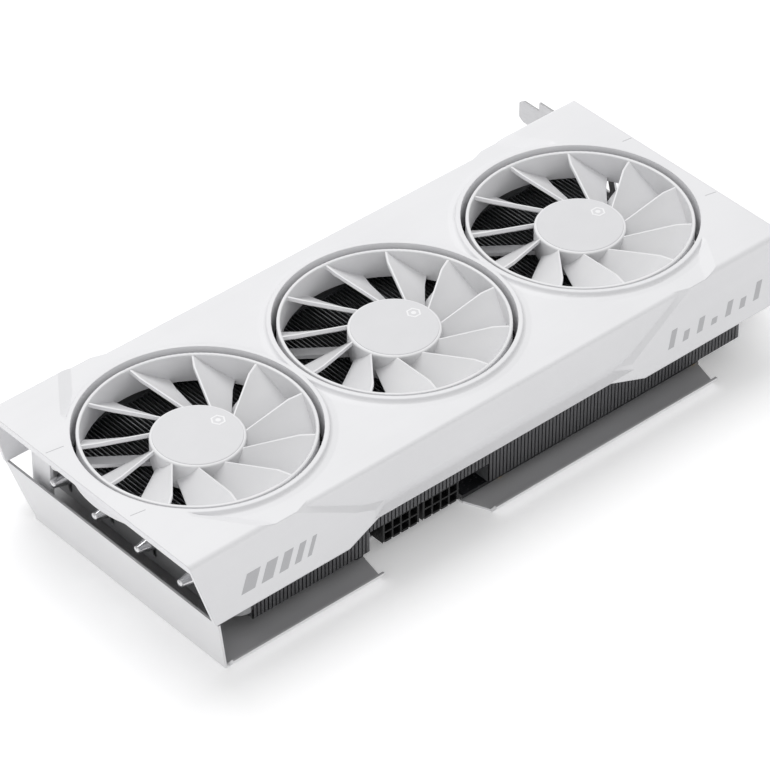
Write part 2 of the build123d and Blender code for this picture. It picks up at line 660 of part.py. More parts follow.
def socket_pins():
    """Contacts inside both sockets."""
    pins = []
    back = SOCKET_FRONT_Y + SOCKET_DEEP
    for s in (-1, 1):
        for cx, cz in socket_cells(socket_x(s)):
            pins.append(block(cx - 0.55, cx + 0.55, SOCKET_FRONT_Y + 2.5, back - 2.5,
                              cz - 0.55, cz + 0.55))
    return pins


# ---------------------------------------------------------------- bracket and sockets
BRACKET_X = BOARD_RIGHT + 1.6
BRACKET_Z0 = 0.3
BRACKET_TOP_Y = BRACKET_TIP_Y - BRACKET_LONG
LUG_Z = BOARD_TOP
BRACKET_LUGS = [(BRACKET_X - 7.0, -25.5), (BRACKET_X - 7.0, 66.3)]
PORTS = {"displayport": [-10.0, 12.0, 34.0], "hdmi": [53.0]}
PORT_SIZE = {"displayport": (18.0, 6.2, 16.1, 4.8), "hdmi": (15.6, 6.0, 14.2, 4.6)}
PORT_DEEP = 13.0


def port_z(kind):
    """Centre height of a display socket that stands on the board."""
    return BOARD_TOP + PORT_SIZE[kind][1] / 2


def bracket():
    """Two-slot bracket: body, screw flange, tapered tabs, socket windows and vents."""
    x0 = BRACKET_X
    x1 = x0 + BRACKET_T
    high = SLOT_BODY + SLOT_PITCH
    top = BRACKET_TOP_Y
    plate = block(x0, x1, top, BRACKET_SHOULDER_Y, BRACKET_Z0, BRACKET_Z0 + high)
    for i in (0, 1):
        mid = BRACKET_Z0 + SLOT_BODY / 2 + i * SLOT_PITCH
        half = SLOT_TAB / 2
        plate += section([(BRACKET_SHOULDER_Y - 1, mid - half), (BRACKET_TIP_Y - 2.5, mid - half),
                          (BRACKET_TIP_Y, mid - half + 1.6), (BRACKET_TIP_Y, mid + half - 1.6),
                          (BRACKET_TIP_Y - 2.5, mid + half), (BRACKET_SHOULDER_Y - 1, mid + half)],
                         x0, x1)
    plate += block(x0, x0 + 11.4, top, top + BRACKET_T, BRACKET_Z0, BRACKET_Z0 + high)
    for i in (0, 1):
        mid = BRACKET_Z0 + SLOT_BODY / 2 + i * SLOT_PITCH
        plate -= block(x0 + 4.2, x0 + 8.6, top - 1, top + 2, mid + 3.0, mid + SLOT_BODY)
    for kind, places in PORTS.items():
        wide, tall = PORT_SIZE[kind][:2]
        for y in places:
            z = port_z(kind)
            plate -= block(x0 - 1, x1 + 1, y - wide / 2 - 0.2, y + wide / 2 + 0.2,
                           z - tall / 2 - 0.2, z + tall / 2 + 0.2)
    vent_z0 = BRACKET_Z0 + 17.0
    vent_z1 = BRACKET_Z0 + high - 4.0
    lean = 5.0
    for i in range(13):
        y = top + 10 + i * 7.0
        plate -= section([(y, vent_z0), (y + 3.4, vent_z0), (y + 3.4 + lean, vent_z1),
                          (y + lean, vent_z1)], x0 - 1, x1 + 1, [0.8, 0.8, 0.8, 0.8])
    for lx, ly in BRACKET_LUGS:
        plate += block(lx - 4, x0 + 0.5, ly - 4, ly + 4, LUG_Z, LUG_Z + BRACKET_T)
    for lx, ly in BRACKET_LUGS:
        plate -= rod(lx, ly, SCREW_R + SLIP, LUG_Z - 1, LUG_Z + 3)
    return plate


def port(kind, y):
    """Display socket: a shell with a mouth through the bracket and a tongue."""
    wide, tall, mouth_w, mouth_h = PORT_SIZE[kind]
    z = port_z(kind)
    x1 = BRACKET_X + BRACKET_T + 0.6
    x0 = x1 - PORT_DEEP
    shell = block(x0, x1, y - wide / 2, y + wide / 2, z - tall / 2, z + tall / 2)
    mouth = section([(y - mouth_w / 2, z - mouth_h / 2 + 1.4), (y - mouth_w / 2 + 1.4, z - mouth_h / 2),
                     (y + mouth_w / 2, z - mouth_h / 2), (y + mouth_w / 2, z + mouth_h / 2),
                     (y - mouth_w / 2, z + mouth_h / 2)], x0 + 3, x1 + 1)
    tongue = block(x0 + 2, x1 - 1.5, y - mouth_w / 2 + 1.8, y + mouth_w / 2 - 1.8, z - 0.6, z + 0.6)
    return (shell - mouth) + tongue


# ---------------------------------------------------------------- backplate
TAB_SLANT = 4.0
NEAR_TABS = [(BACK_LEFT + 2.0, -60.5, 0.0, 2.2), (-12.0, 112.0, TAB_SLANT + 1, TAB_SLANT - 0.8)]
WINDOW = (-118.0, -74.0, -40.0, 40.0)
CLAMP_WINDOW = 34.0


def flange(x0, x1, slant0, slant1):
    """Near flange with a turned-up lip, narrower towards its rim."""
    y0 = -BACK_HALF_NEAR
    y1 = y0 - FLANGE_OUT
    rim = y1 - LIP_OUT
    part = plan([(x0, y0 + 2), (x1, y0 + 2), (x1, y0), (x1 - slant1, y1 - 0.2), (x0 + slant0, y1 - 0.2),
                 (x0, y0)], 0, BACK_T)
    t = BACK_T * 0.8
    lip_section = section([(y1 + 0.4, 0), (y1 + 0.4, BACK_T), (y1, BACK_T), (rim + 1.0, LIP_UP + 0.8),
                           (rim, LIP_UP + 0.8), (rim, LIP_UP), (y1 - t, 0)],
                          x0 + slant0, x1 - slant1)
    return part + lip_section


def end_panel():
    """Upturned panel at the open end, cut away at its far lower corner."""
    near = BACK_HALF_NEAR + FLANGE_OUT + 0.8
    x = BACK_LEFT
    lean = PANEL_LEAN
    sheet = side([(x, 0), (x + BACK_T, 0), (x + BACK_T - lean, PANEL_TOP_Z), (x - lean, PANEL_TOP_Z)],
                 -near, FOOT_HALF)
    sheet -= section([(47.0, -1), (47.0, 1.5), (50.5, 5.0), (FOOT_HALF, PANEL_TOP_Z - 0.8), (70, 20),
                      (70, -1)], x - 5, x + 5, [0, 2, 6, 0, 0, 0])
    near_cut = section([(-near - 1, -1), (-near, 0), (-near + 1.2, PANEL_TOP_Z + 1),
                        (-near - 1, PANEL_TOP_Z + 1)], x - 5, x + 5)
    return sheet - near_cut


def backplate():
    """White sheet tray: floor, end panel, two near flanges and its openings."""
    far = BACK_HALF_FAR
    floor = plan([(BACK_LEFT, -BACK_HALF_NEAR - 1), (CORNER_X[0], -BACK_HALF_NEAR - 1),
                  (CORNER_X[1], CORNER_NEAR), (COVER_RIGHT - 1, CORNER_NEAR),
                  (COVER_RIGHT - 1, far), (BACK_LEFT + 14, far), (BACK_LEFT, 47.0)],
                 0, BACK_T, [0, 2, 2, 3, 3, 4, 0])
    tray_solid = floor + end_panel()
    for tab in NEAR_TABS:
        tray_solid += flange(*tab)
    tray_solid -= block(NEAR_TABS[0][1], NEAR_TABS[1][0], -BACK_HALF_NEAR - 2,
                        SOCKET_FRONT_Y + 9.0, -1, BACK_T + 1)
    x0, x1, y0, y1 = WINDOW
    tray_solid -= plan([(x0, y0), (x1, y0), (x1, y1), (x0, y1)], -1, BACK_T + 1, [5, 5, 5, 5])
    c = CLAMP_WINDOW
    tray_solid -= plan([(CHIP_X - c, -c), (CHIP_X + c, -c), (CHIP_X + c, c), (CHIP_X - c, c)],
                       -1, BACK_T + 1, [6, 6, 6, 6])
    for x, y in STANDOFFS:
        tray_solid -= Pos(x, y, BACK_T / 2) * Cone(2.0 + SLIP, SCREW_R + 0.1, BACK_T)
    return tray_solid


def sunk_screw(x, y):
    """Countersunk screw through the backplate and the board into a standoff."""
    head = Pos(x, y, BACK_T / 2) * Cone(2.0, SCREW_R, BACK_T)
    return head + rod(x, y, SCREW_R, BACK_T - 0.05, FIN_FOOT_Z - RAIL_T + 0.4)


def standoff(x, y):
    """Board spacers: one below the board, one up to the rail of the fin stack."""
    bore = rod(x, y, SCREW_R + SLIP, 0, 20)
    below = rod(x, y, 2.4, BACK_T, BOARD_Z) - bore
    above = rod(x, y, 2.4, BOARD_TOP, FIN_FOOT_Z - RAIL_T) - bore
    return [below, above]


CLAMP_Z = BACK_T + 0.1
CLAMP_T = 0.9


def clamp_frame():
    """Cross of spring steel behind the processor."""
    arm = sqrt(2) * CLAMP_HALF
    cross = block(-arm, arm, -3.5, 3.5, CLAMP_Z, CLAMP_Z + CLAMP_T)
    frame = Rot(0, 0, 45) * cross + Rot(0, 0, -45) * cross
    frame += rod(0, 0, 12, CLAMP_Z, CLAMP_Z + CLAMP_T)
    frame -= rod(0, 0, 7, 0, 5)
    frame = Pos(CHIP_X, 0, 0) * frame
    for x, y in corners(CLAMP_HALF, CLAMP_HALF):
        frame += rod(x, y, 4.2, CLAMP_Z, CLAMP_Z + CLAMP_T)
    for x, y in corners(CLAMP_HALF, CLAMP_HALF):
        frame -= rod(x, y, BOARD_SCREW_R + SLIP, 0, 5)
    return frame


# ---------------------------------------------------------------- build every node
def cooler_nodes():
    """Fins, plates, pipes and pads."""
    save("fin_stack", fin_stack())
    save("fin_end_plate", end_plate())
    for i in range(4):
        save(f"heat_pipe_{i + 1}", heat_pipe(i))
    save("base_block", base_block())
    save("cold_plate", block(CHIP_X - COLD_HALF, CHIP_X + COLD_HALF, -COLD_HALF, COLD_HALF,
                             COLD_Z, COLD_Z + COLD_T))
    save("memory_plate", memory_plate())
    reg_top = BOARD_TOP + CHOKE_H + PAD_T
    strips = [block(x - 6, x + 6, REG_Y[0] - 6, REG_Y[-1] + 6, reg_top, reg_top + 1.6) for x in REG_X]
    save("regulator_plates", strips)
    pads = [block(x - 5, x + 5, REG_Y[0] - 5, REG_Y[-1] + 5, BOARD_TOP + CHOKE_H, reg_top)
            for x in REG_X]
    save("regulator_pads", pads)
    save("memory_pads", tray(chip_places(), 11, 13, BOARD_TOP + 1.2, COLD_Z))


def board_nodes():
    """The board and what is soldered to it."""
    save("board", board())
    save("slot_contacts", slot_contacts())
    half = PACKAGE / 2
    save("processor_package", block(CHIP_X - half, CHIP_X + half, -half, half,
                                    BOARD_TOP, BOARD_TOP + 1.3))
    half = DIE / 2
    save("processor_die", block(CHIP_X - half, CHIP_X + half, -half, half, BOARD_TOP + 1.3, COLD_Z))
    save("memory_chips", tray(chip_places(), 12, 14, BOARD_TOP, BOARD_TOP + 1.2))
    phases = [(x, y) for x in REG_X for y in REG_Y]
    save("chokes", tray(phases, CHOKE, CHOKE, BOARD_TOP, BOARD_TOP + CHOKE_H))
    drivers = [(x + 9.0 * (1 if x < 0 else -1), y) for x, y in phases]
    save("power_transistors", tray(drivers, 5, 6, BOARD_TOP, BOARD_TOP + 0.9))
    cans = [(126.0, -34.0 + i * 9.0) for i in range(6)]
    save("capacitors", [rod(x, y, 3.1, BOARD_TOP, FIN_FOOT_Z - RAIL_T - 0.4) for x, y in cans])
    for name, s in (("left", -1), ("right", 1)):
        save(f"power_socket_{name}", power_socket(socket_x(s)))
    save("socket_pins", socket_pins())
    header = block(-60, -48, 30, 34, BOARD_TOP, BOARD_TOP + 2.9)
    save("fan_header", header - block(-59.2, -48.8, 30.7, 33.3, BOARD_TOP + 0.8, BOARD_TOP + 4))


def frame_nodes():
    """Cover, backplate, bracket and fasteners."""
    save("cover", cover())
    save("backplate", backplate())
    save("bracket", bracket())
    for kind, places in PORTS.items():
        save(f"{kind}_sockets", [port(kind, y) for y in places])
    save("bracket_screws", [rod(x, y, 1.9, BACK_T + 0.3, BOARD_Z) +
                            rod(x, y, SCREW_R, BOARD_Z - 0.1, LUG_Z + BRACKET_T)
                            for x, y in BRACKET_LUGS])
    save("clamp_frame", clamp_frame())
    save("clamp_screws", [rod(x, y, 2.4, 0.1, CLAMP_Z) +
                          rod(x, y, BOARD_SCREW_R, CLAMP_Z - 0.1, COLD_Z + COLD_T)
                          for x, y in corners(CLAMP_HALF, CLAMP_HALF)])
    save("backplate_screws", [sunk_screw(x, y) for x, y in STANDOFFS])
    save("standoffs", [piece for x, y in STANDOFFS for piece in standoff(x, y)])
    save("cover_screws", [pan_screw(x, y, FIN_TOP_Z - 0.3, RAIL_TOP_Z + SCREW_BITE - 1)
                          for x, y in COVER_BOSSES])
    ears = [spot for x in FANS.values() for spot in around(x, EAR_R, ARM_START, 3)]
    save("fan_screws", [pan_screw(x, y, MOTOR_TOP_Z - ARM_T, DUCT_FOOT_Z + SCREW_BITE - 1, head=0.9)
                        for x, y, a in ears])


os.makedirs("parts", exist_ok=True)
one_fan = fan_pieces()
for fan_name, fan_x in FANS.items():
    for piece_name, piece in one_fan.items():
        group = piece if isinstance(piece, list) else [piece]
        save(f"{piece_name}_{fan_name}", [Pos(fan_x, 0, 0) * item for item in group])
cooler_nodes()
board_nodes()
frame_nodes()
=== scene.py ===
# %% [markdown]
# # A graphics card with three fans
#
# The solid parts of this card arrive ready made and in place: the moulded cover, the fans, the fins,
# the pipes, the board and the sheet-metal back. This lesson gives each of them the finish that its
# maker would, adds the small things that a solid model leaves out, and lights the whole.
# All lengths are in metres, in the card's own frame: +X runs along the card to the slot bracket,
# +Y to the slot edge and +Z from the backplate up to the fans.

# %% Load the card
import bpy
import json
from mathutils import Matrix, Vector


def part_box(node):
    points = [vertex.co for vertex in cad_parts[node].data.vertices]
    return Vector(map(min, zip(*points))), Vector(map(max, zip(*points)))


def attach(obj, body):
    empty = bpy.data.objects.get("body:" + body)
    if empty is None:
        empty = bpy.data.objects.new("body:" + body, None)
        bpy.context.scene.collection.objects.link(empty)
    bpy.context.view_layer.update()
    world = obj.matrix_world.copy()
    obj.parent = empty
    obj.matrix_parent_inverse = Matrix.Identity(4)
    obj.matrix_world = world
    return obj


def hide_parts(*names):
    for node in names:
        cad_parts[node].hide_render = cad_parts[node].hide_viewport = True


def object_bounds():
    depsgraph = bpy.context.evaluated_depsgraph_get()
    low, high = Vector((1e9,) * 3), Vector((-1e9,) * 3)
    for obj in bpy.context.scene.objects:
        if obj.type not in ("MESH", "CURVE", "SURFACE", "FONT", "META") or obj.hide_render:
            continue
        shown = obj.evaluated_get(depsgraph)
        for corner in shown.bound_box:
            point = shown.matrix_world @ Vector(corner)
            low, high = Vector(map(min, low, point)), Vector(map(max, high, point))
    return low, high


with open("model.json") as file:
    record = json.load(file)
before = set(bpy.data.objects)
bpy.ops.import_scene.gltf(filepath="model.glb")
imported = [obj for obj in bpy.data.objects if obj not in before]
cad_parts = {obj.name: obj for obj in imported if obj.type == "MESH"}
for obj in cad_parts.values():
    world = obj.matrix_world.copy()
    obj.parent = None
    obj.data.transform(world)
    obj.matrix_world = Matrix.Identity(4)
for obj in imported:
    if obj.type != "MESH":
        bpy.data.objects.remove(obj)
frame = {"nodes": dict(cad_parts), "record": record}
cad_box = [[float(value) for value in corner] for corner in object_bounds()]

import json
from math import cos, radians, sin, tau
from random import Random

import bmesh
import bpy
from mathutils import Vector

MM = 0.001
nodes = frame["nodes"]

# %% [markdown]
# ## Shader maths that reads like maths
#
# A finish is a small sum: a base value, plus a little noise, times a mask. Blender writes such a sum
# as a web of Math nodes, which is hard to read. The class below wraps a socket, so that
# `0.4 + grain * 0.1` builds those nodes by itself. A second class holds one material and makes any
# other node through a single method.

# %% A value that varies over a surface
class Field:
    """An output socket. Sums written with it become Math nodes."""

    def __init__(self, finish, socket):
        self.finish = finish
        self.socket = socket

    def maths(self, operation, *values):
        return self.finish.node("ShaderNodeMath", {"operation": operation}, dict(enumerate(values)))

    def __add__(self, other):
        return self.maths("ADD", self, other)

    __radd__ = __add__

    def __sub__(self, other):
        return self.maths("SUBTRACT", self, other)

    def __rsub__(self, other):
        return self.maths("SUBTRACT", other, self)

    def __mul__(self, other):
        return self.maths("MULTIPLY", self, other)

    def __gt__(self, other):
        return self.maths("GREATER_THAN", self, other)

    def __abs__(self):
        return self.maths("ABSOLUTE", self)

    def root(self):
        return self.maths("SQRT", self)

    def wave(self):
        return self.maths("SINE", self)


print("a value can now be added, multiplied and compared")

# %% One material
class Finish:
    """A Principled shader, the nodes that feed it and the patterns that finishes share."""

    def __init__(self, name, constants):
        self.material = bpy.data.materials.new(name)
        self.material.use_nodes = True
        self.tree = self.material.node_tree
        self.tree.nodes.clear()
        output = self.tree.nodes.new("ShaderNodeOutputMaterial")
        self.shader = self.tree.nodes.new("ShaderNodeBsdfPrincipled")
        self.tree.links.new(self.shader.outputs["BSDF"], output.inputs["Surface"])
        self.use(constants)
        self.place = self.node("ShaderNodeTexCoord", give="Object")
        self.normal = None

    def feed(self, socket, value):
        if isinstance(value, Field):
            self.tree.links.new(value.socket, socket)
        elif isinstance(value, tuple) and socket.type == "RGBA":
            socket.default_value = (*value[:3], 1)
        else:
            socket.default_value = value

    def node(self, kind, settings=None, inputs=None, give=0):
        """Any node: its settings first, then the values or links of its sockets."""
        made = self.tree.nodes.new(kind)
        for name, value in (settings or {}).items():
            setattr(made, name, value)
        for name, value in (inputs or {}).items():
            self.feed(made.inputs[name], value)
        return Field(self, made.outputs[give])

    def use(self, sockets):
        for name, value in sockets.items():
            self.feed(self.shader.inputs[name], value)
        return self

    def axes(self):
        """The place on the surface as three separate numbers."""
        first = self.node("ShaderNodeSeparateXYZ", None, {0: self.place})
        outputs = first.socket.node.outputs
        return [Field(self, outputs[i]) for i in range(3)]

    def noise(self, size, stretch=(1, 1, 1), detail=2.0):
        """Cloudy noise whose blotches are about size across, drawn out where stretch is large."""
        scale = tuple(1 / (size * s) for s in stretch)
        place = self.node("ShaderNodeVectorMath", {"operation": "MULTIPLY"}, {0: self.place, 1: scale})
        return self.node("ShaderNodeTexNoise", None, {"Vector": place, "Scale": 1.0, "Detail": detail})

    def ramp(self, value, low, high):
        """0 up to low, 1 from high, and a smooth step between."""
        sockets = {"Value": value, "From Min": low, "From Max": high}
        return self.node("ShaderNodeMapRange", {"interpolation_type": "SMOOTHSTEP"}, sockets)

    def mix(self, factor, a, b):
        """Colour a where factor is 0, b where it is 1."""
        return self.node("ShaderNodeMix", {"data_type": "RGBA"}, {0: factor, 6: a, 7: b}, give=2)

    def round_edges(self, radius, samples=4):
        """Shade the edges as if they had this radius."""
        self.normal = self.node("ShaderNodeBevel", {"samples": samples}, {"Radius": radius})
        return self.use({"Normal": self.normal})

    def relief(self, height, depth):
        """Raise the surface by height, a number from 0 to 1, times depth."""
        inputs = {"Height": height, "Distance": depth, "Strength": 1.0}
        if self.normal:
            inputs["Normal"] = self.normal
        self.normal = self.node("ShaderNodeBump", None, inputs)
        return self.use({"Normal": self.normal})


print("shader helpers ready")

# %% [markdown]
# ## White mouldings
#
# The cover, the rotors and the motor bases are white plastic from a spark-eroded mould, which leaves
# a fine satin grain. Plain white looks like paper, so three things are layered: slow drifts of tone
# of a few per cent, where the plastic flowed and cooled, the grain itself as relief, and the polish
# that the grain loses on high spots. The grain is noise in the card's own frame, so that it has one
# scale on every part. Edges of a moulding are never sharp, so their shading is rounded.

# %% White mouldings
def moulding(name, light, shade, rough, grain, edge):
    made = Finish(name, {"IOR": 1.5, "Specular IOR Level": 0.42})
    drift = made.noise(38 * MM, detail=3.0)
    flow = made.noise(6 * MM, stretch=(9, 1, 1))
    speck = made.noise(grain)
    made.use({"Base Color": made.mix(made.ramp(drift * 0.7 + flow * 0.3, 0.3, 0.7), light, shade)})
    made.use({"Roughness": rough + flow * 0.08 + speck * 0.06})
    made.round_edges(edge)
    return made.relief(speck, grain * 0.04)


finishes = {
    "cover_plastic": moulding("satin white cover", (0.80, 0.80, 0.815), (0.775, 0.775, 0.79), 0.36,
                              0.45 * MM, 0.5 * MM),
    "rotor_plastic": moulding("white rotor plastic", (0.82, 0.82, 0.83), (0.79, 0.79, 0.805), 0.32,
                              0.35 * MM, 0.25 * MM),
    "motor_plastic": moulding("white motor base plastic", (0.74, 0.74, 0.75), (0.70, 0.70, 0.715), 0.42,
                              0.4 * MM, 0.3 * MM),
}
print("mouldings:", ", ".join(finishes))

# %% [markdown]
# ## Hub discs
#
# Each hub wears a thin printed disc, a shade greyer than the rotor. Its print is spun, so the light
# catches very fine rings. The rings need the distance from the hub's own axis. The three axes are
# one fan pitch apart, so wrapping X at that pitch gives all three discs their centre in one sum.

# %% Hub disc
fan_x = {name: sum(corner.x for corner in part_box(f"hub_disc_{name}")) / 2
         for name in ("left", "middle", "right")}
FAN_PITCH = fan_x["right"] - fan_x["middle"]
PRINT_RINGS = 0.5 * MM


def spun_rings(made, pitch):
    """Rings of that pitch round each fan's axis, as a number from 0 to 1."""
    x, y = made.axes()[:2]
    half = FAN_PITCH / 2
    local = made.node("ShaderNodeMath", {"operation": "WRAP"}, {0: x, 1: half, 2: -half})
    radius = (local * local + y * y).root()
    return (radius * (tau / pitch)).wave() * 0.5 + 0.5


def hub_disc():
    made = Finish("spun print on the hub", {"IOR": 1.48})
    rings = spun_rings(made, PRINT_RINGS)
    share = made.noise(9 * MM) * 0.6 + rings * 0.2
    made.use({"Base Color": made.mix(share, (0.72, 0.72, 0.735), (0.66, 0.66, 0.675))})
    made.use({"Roughness": 0.34 + rings * 0.1})
    return made.relief(rings, 0.004 * MM)


finishes["hub_disc"] = hub_disc()
print("fan axes at", fan_x, "pitch", FAN_PITCH)

# %% [markdown]
# ## Bare and plated metals
#
# The fins are thin stamped aluminium and look dark, because light that enters between them hardly
# comes out. Pipes are nickel-plated and nearly mirror-like, with marks drawn along their length. The
# bracket and the port shells are plated steel. One recipe serves them all: a metal whose polish
# varies in streaks along the direction in which it was rolled or drawn.

# %% Streaked metal
def metal(name, light, dark, rough, spread, grain, stretch, depth, metallic=1.0, edge=0.0):
    made = Finish(name, {"Metallic": metallic})
    streak = made.noise(grain, stretch=stretch)
    patch = made.noise(14 * MM, detail=3.0)
    made.use({"Base Color": made.mix(streak * 0.6 + patch * 0.4, light, dark)})
    made.use({"Roughness": rough + streak * spread + (patch - 0.5) * spread})
    if edge:
        made.round_edges(edge)
    return made.relief(streak, depth)


ALONG_X = (12, 1, 1)
ALONG_Y = (1, 12, 1)
ALONG_Z = (1, 1, 12)
finishes["fin_aluminium"] = metal("stamped fin aluminium", (0.30, 0.305, 0.315), (0.20, 0.205, 0.215), 0.34,
                                  0.18, 0.5 * MM, ALONG_Z, 0.02 * MM, metallic=0.85)
finishes["end_plate"] = metal("formed aluminium sheet", (0.37, 0.375, 0.38), (0.30, 0.30, 0.31), 0.44,
                              0.14, 0.6 * MM, ALONG_Y, 0.01 * MM, metallic=0.25, edge=0.3 * MM)
finishes["pipe_nickel"] = metal("drawn nickel-plated pipe", (0.80, 0.80, 0.81), (0.66, 0.66, 0.67), 0.16,
                                0.14, 0.4 * MM, ALONG_X, 0.01 * MM)
finishes["copper"] = metal("milled copper", (0.86, 0.50, 0.34), (0.66, 0.34, 0.21), 0.24,
                           0.2, 0.5 * MM, ALONG_X, 0.008 * MM, edge=0.2 * MM)
finishes["block_aluminium"] = metal("milled aluminium", (0.72, 0.72, 0.74), (0.58, 0.58, 0.60), 0.26,
                                    0.2, 0.4 * MM, ALONG_Y, 0.01 * MM, edge=0.25 * MM)
finishes["bracket"] = metal("nickel-plated bracket steel", (0.60, 0.60, 0.61), (0.48, 0.48, 0.49), 0.26,
                            0.16, 0.35 * MM, ALONG_Y, 0.006 * MM, edge=0.25 * MM)
finishes["shell"] = metal("tinned port shell", (0.74, 0.74, 0.75), (0.60, 0.60, 0.61), 0.22,
                          0.16, 0.5 * MM, ALONG_X, 0.006 * MM, edge=0.2 * MM)
finishes["clamp"] = metal("blued spring steel", (0.22, 0.22, 0.24), (0.13, 0.13, 0.145), 0.34,
                          0.16, 0.5 * MM, ALONG_X, 0.008 * MM, edge=0.2 * MM)
finishes["screw"] = metal("black zinc screw", (0.17, 0.17, 0.18), (0.09, 0.09, 0.10), 0.32,
                          0.18, 0.25 * MM, (1, 1, 1), 0.01 * MM, edge=0.15 * MM)
finishes["steel"] = metal("ground shaft steel", (0.66, 0.66, 0.68), (0.52, 0.52, 0.54), 0.18,
                          0.12, 0.2 * MM, ALONG_Z, 0.004 * MM)
finishes["bronze"] = metal("sintered bronze", (0.66, 0.48, 0.28), (0.42, 0.29, 0.16), 0.42,
                           0.2, 0.15 * MM, (1, 1, 1), 0.03 * MM)
finishes["standoff"] = metal("turned brass", (0.80, 0.62, 0.32), (0.62, 0.46, 0.22), 0.24,
                             0.14, 0.2 * MM, (6, 6, 1), 0.006 * MM, edge=0.15 * MM)
finishes["contact"] = metal("tinned contact brass", (0.78, 0.74, 0.64), (0.60, 0.55, 0.44), 0.26,
                            0.16, 0.3 * MM, ALONG_Y, 0.004 * MM)
finishes["gold"] = metal("hard gold plating", (0.92, 0.68, 0.30), (0.78, 0.54, 0.20), 0.20,
                         0.14, 0.25 * MM, ALONG_Y, 0.004 * MM)
finishes["can"] = metal("drawn capacitor can", (0.76, 0.76, 0.78), (0.64, 0.64, 0.66), 0.24,
                        0.12, 0.3 * MM, ALONG_Z, 0.004 * MM, edge=0.3 * MM)
print(len(finishes), "finishes so far")

# %% [markdown]
# ## Backplate
#
# The backplate is one aluminium sheet, powder-coated white. Its faces that look up, to the bracket
# or to the slot edge, on the tray's floor, on the flanges and behind the end panel, get a mid grey
# instead: painted shade, for the shadow that the cooler casts over them. One mask picks them out: it
# looks at which way each face points. Powder coat is a fine orange peel, which is relief at two
# scales.

# %% Backplate
# The way that the faces with the painted shade look: up, to the bracket and to the slot edge.
SHADED_FACING = Vector((0.6, 0.45, 0.66))
SHADED_STEP = (0.28, 0.36)      # how far a face has to look that way to get the painted shade


def back_sheet():
    made = Finish("powder-coated back sheet", {"IOR": 1.5})
    facing = made.node("ShaderNodeTexCoord", give="Normal")
    towards = made.node("ShaderNodeVectorMath", {"operation": "DOT_PRODUCT"},
                        {0: facing, 1: tuple(SHADED_FACING)}, give="Value")
    # Mask of the faces that get the painted shade.
    shaded_faces = made.ramp(towards, *SHADED_STEP)
    cloud = made.noise(30 * MM, detail=3.0)
    peel = made.noise(0.7 * MM, detail=1.0)
    fine = made.noise(0.2 * MM, detail=1.0)
    outer = made.mix(cloud, (0.80, 0.80, 0.81), (0.77, 0.77, 0.78))
    # Painted shade: a mid grey for the shadow that the cooler casts on the faces that look up under it.
    inner = made.mix(cloud, (0.46, 0.46, 0.47), (0.42, 0.42, 0.43))
    made.use({"Base Color": made.mix(shaded_faces, outer, inner)})
    made.use({"Roughness": 0.40 + peel * 0.12 + shaded_faces * 0.06})
    made.round_edges(0.35 * MM)
    return made.relief(peel * 0.7 + fine * 0.3, 0.02 * MM)


finishes["back_sheet"] = back_sheet()
print("backplate coat: white outside, grey inside")

# %% [markdown]
# ## Board
#
# The board is black solder mask over copper. Traces show through as faint raised runs, and vias as
# small dots. Traces are a brick pattern seen edge on: long thin rectangles whose joints change from
# row to row. Vias are the points of a Voronoi pattern, kept to a random part of its cells. Both are
# faint, because the mask is nearly black and glossy.

# %% Board
TRACE_LONG = 13 * MM
TRACE_PITCH = 0.9 * MM
VIAS_PER_METRE = 420.0


def board_mask():
    made = Finish("black solder mask", {"IOR": 1.52, "Coat Weight": 0.25, "Coat Roughness": 0.15})
    runs = made.node("ShaderNodeTexBrick", {"offset": 0.37, "squash": 0.6, "squash_frequency": 3},
                     {"Vector": made.place, "Scale": 1.0, "Mortar Size": 0.1 * MM, "Mortar Smooth": 0.3,
                      "Brick Width": TRACE_LONG, "Row Height": TRACE_PITCH}, give="Fac")
    cells = made.node("ShaderNodeTexVoronoi", {"voronoi_dimensions": "2D"},
                      {"Vector": made.place, "Scale": VIAS_PER_METRE}, give="Distance")
    dots = 1 - made.ramp(cells, 0.10, 0.16)
    chosen = made.ramp(made.noise(7 * MM), 0.47, 0.52)
    via = dots * chosen
    tone = made.mix(runs, (0.012, 0.013, 0.015), (0.022, 0.023, 0.027))
    made.use({"Base Color": made.mix(via, tone, (0.10, 0.10, 0.105))})
    made.use({"Roughness": 0.30 + made.noise(11 * MM) * 0.12 + via * 0.1})
    return made.relief(runs * 0.6 + via * 0.4, 0.03 * MM)


def laminate():
    made = Finish("processor laminate", {"IOR": 1.52})
    weave = made.noise(0.5 * MM, stretch=(4, 1, 1)) * 0.5 + made.noise(0.5 * MM, stretch=(1, 4, 1)) * 0.5
    made.use({"Base Color": made.mix(weave, (0.02, 0.09, 0.06), (0.035, 0.13, 0.09))})
    made.use({"Roughness": 0.36 + weave * 0.1})
    return made.relief(weave, 0.01 * MM)


finishes["board"] = board_mask()
finishes["package"] = laminate()
print("board and package finishes made")

# %% [markdown]
# ## Dark and dull mouldings
#
# Sockets, chips, chokes and pads are all speckled compounds: a filler of glass, ferrite or silica in
# a dull binder. One function makes them, with the size and the contrast of the speck as its only
# differences, because that is how they differ in life too.

# %% Speckled compounds
def compound(name, base, speck, rough, grain, depth, share=0.55, edge=0.15 * MM):
    made = Finish(name, {"IOR": 1.5})
    fine = made.noise(grain, detail=3.0)
    cloud = made.noise(grain * 12)
    made.use({"Base Color": made.mix(made.ramp(fine, share, share + 0.12), base, speck)})
    made.use({"Roughness": rough + (cloud - 0.5) * 0.14 + fine * 0.05})
    made.round_edges(edge)
    return made.relief(fine, depth)


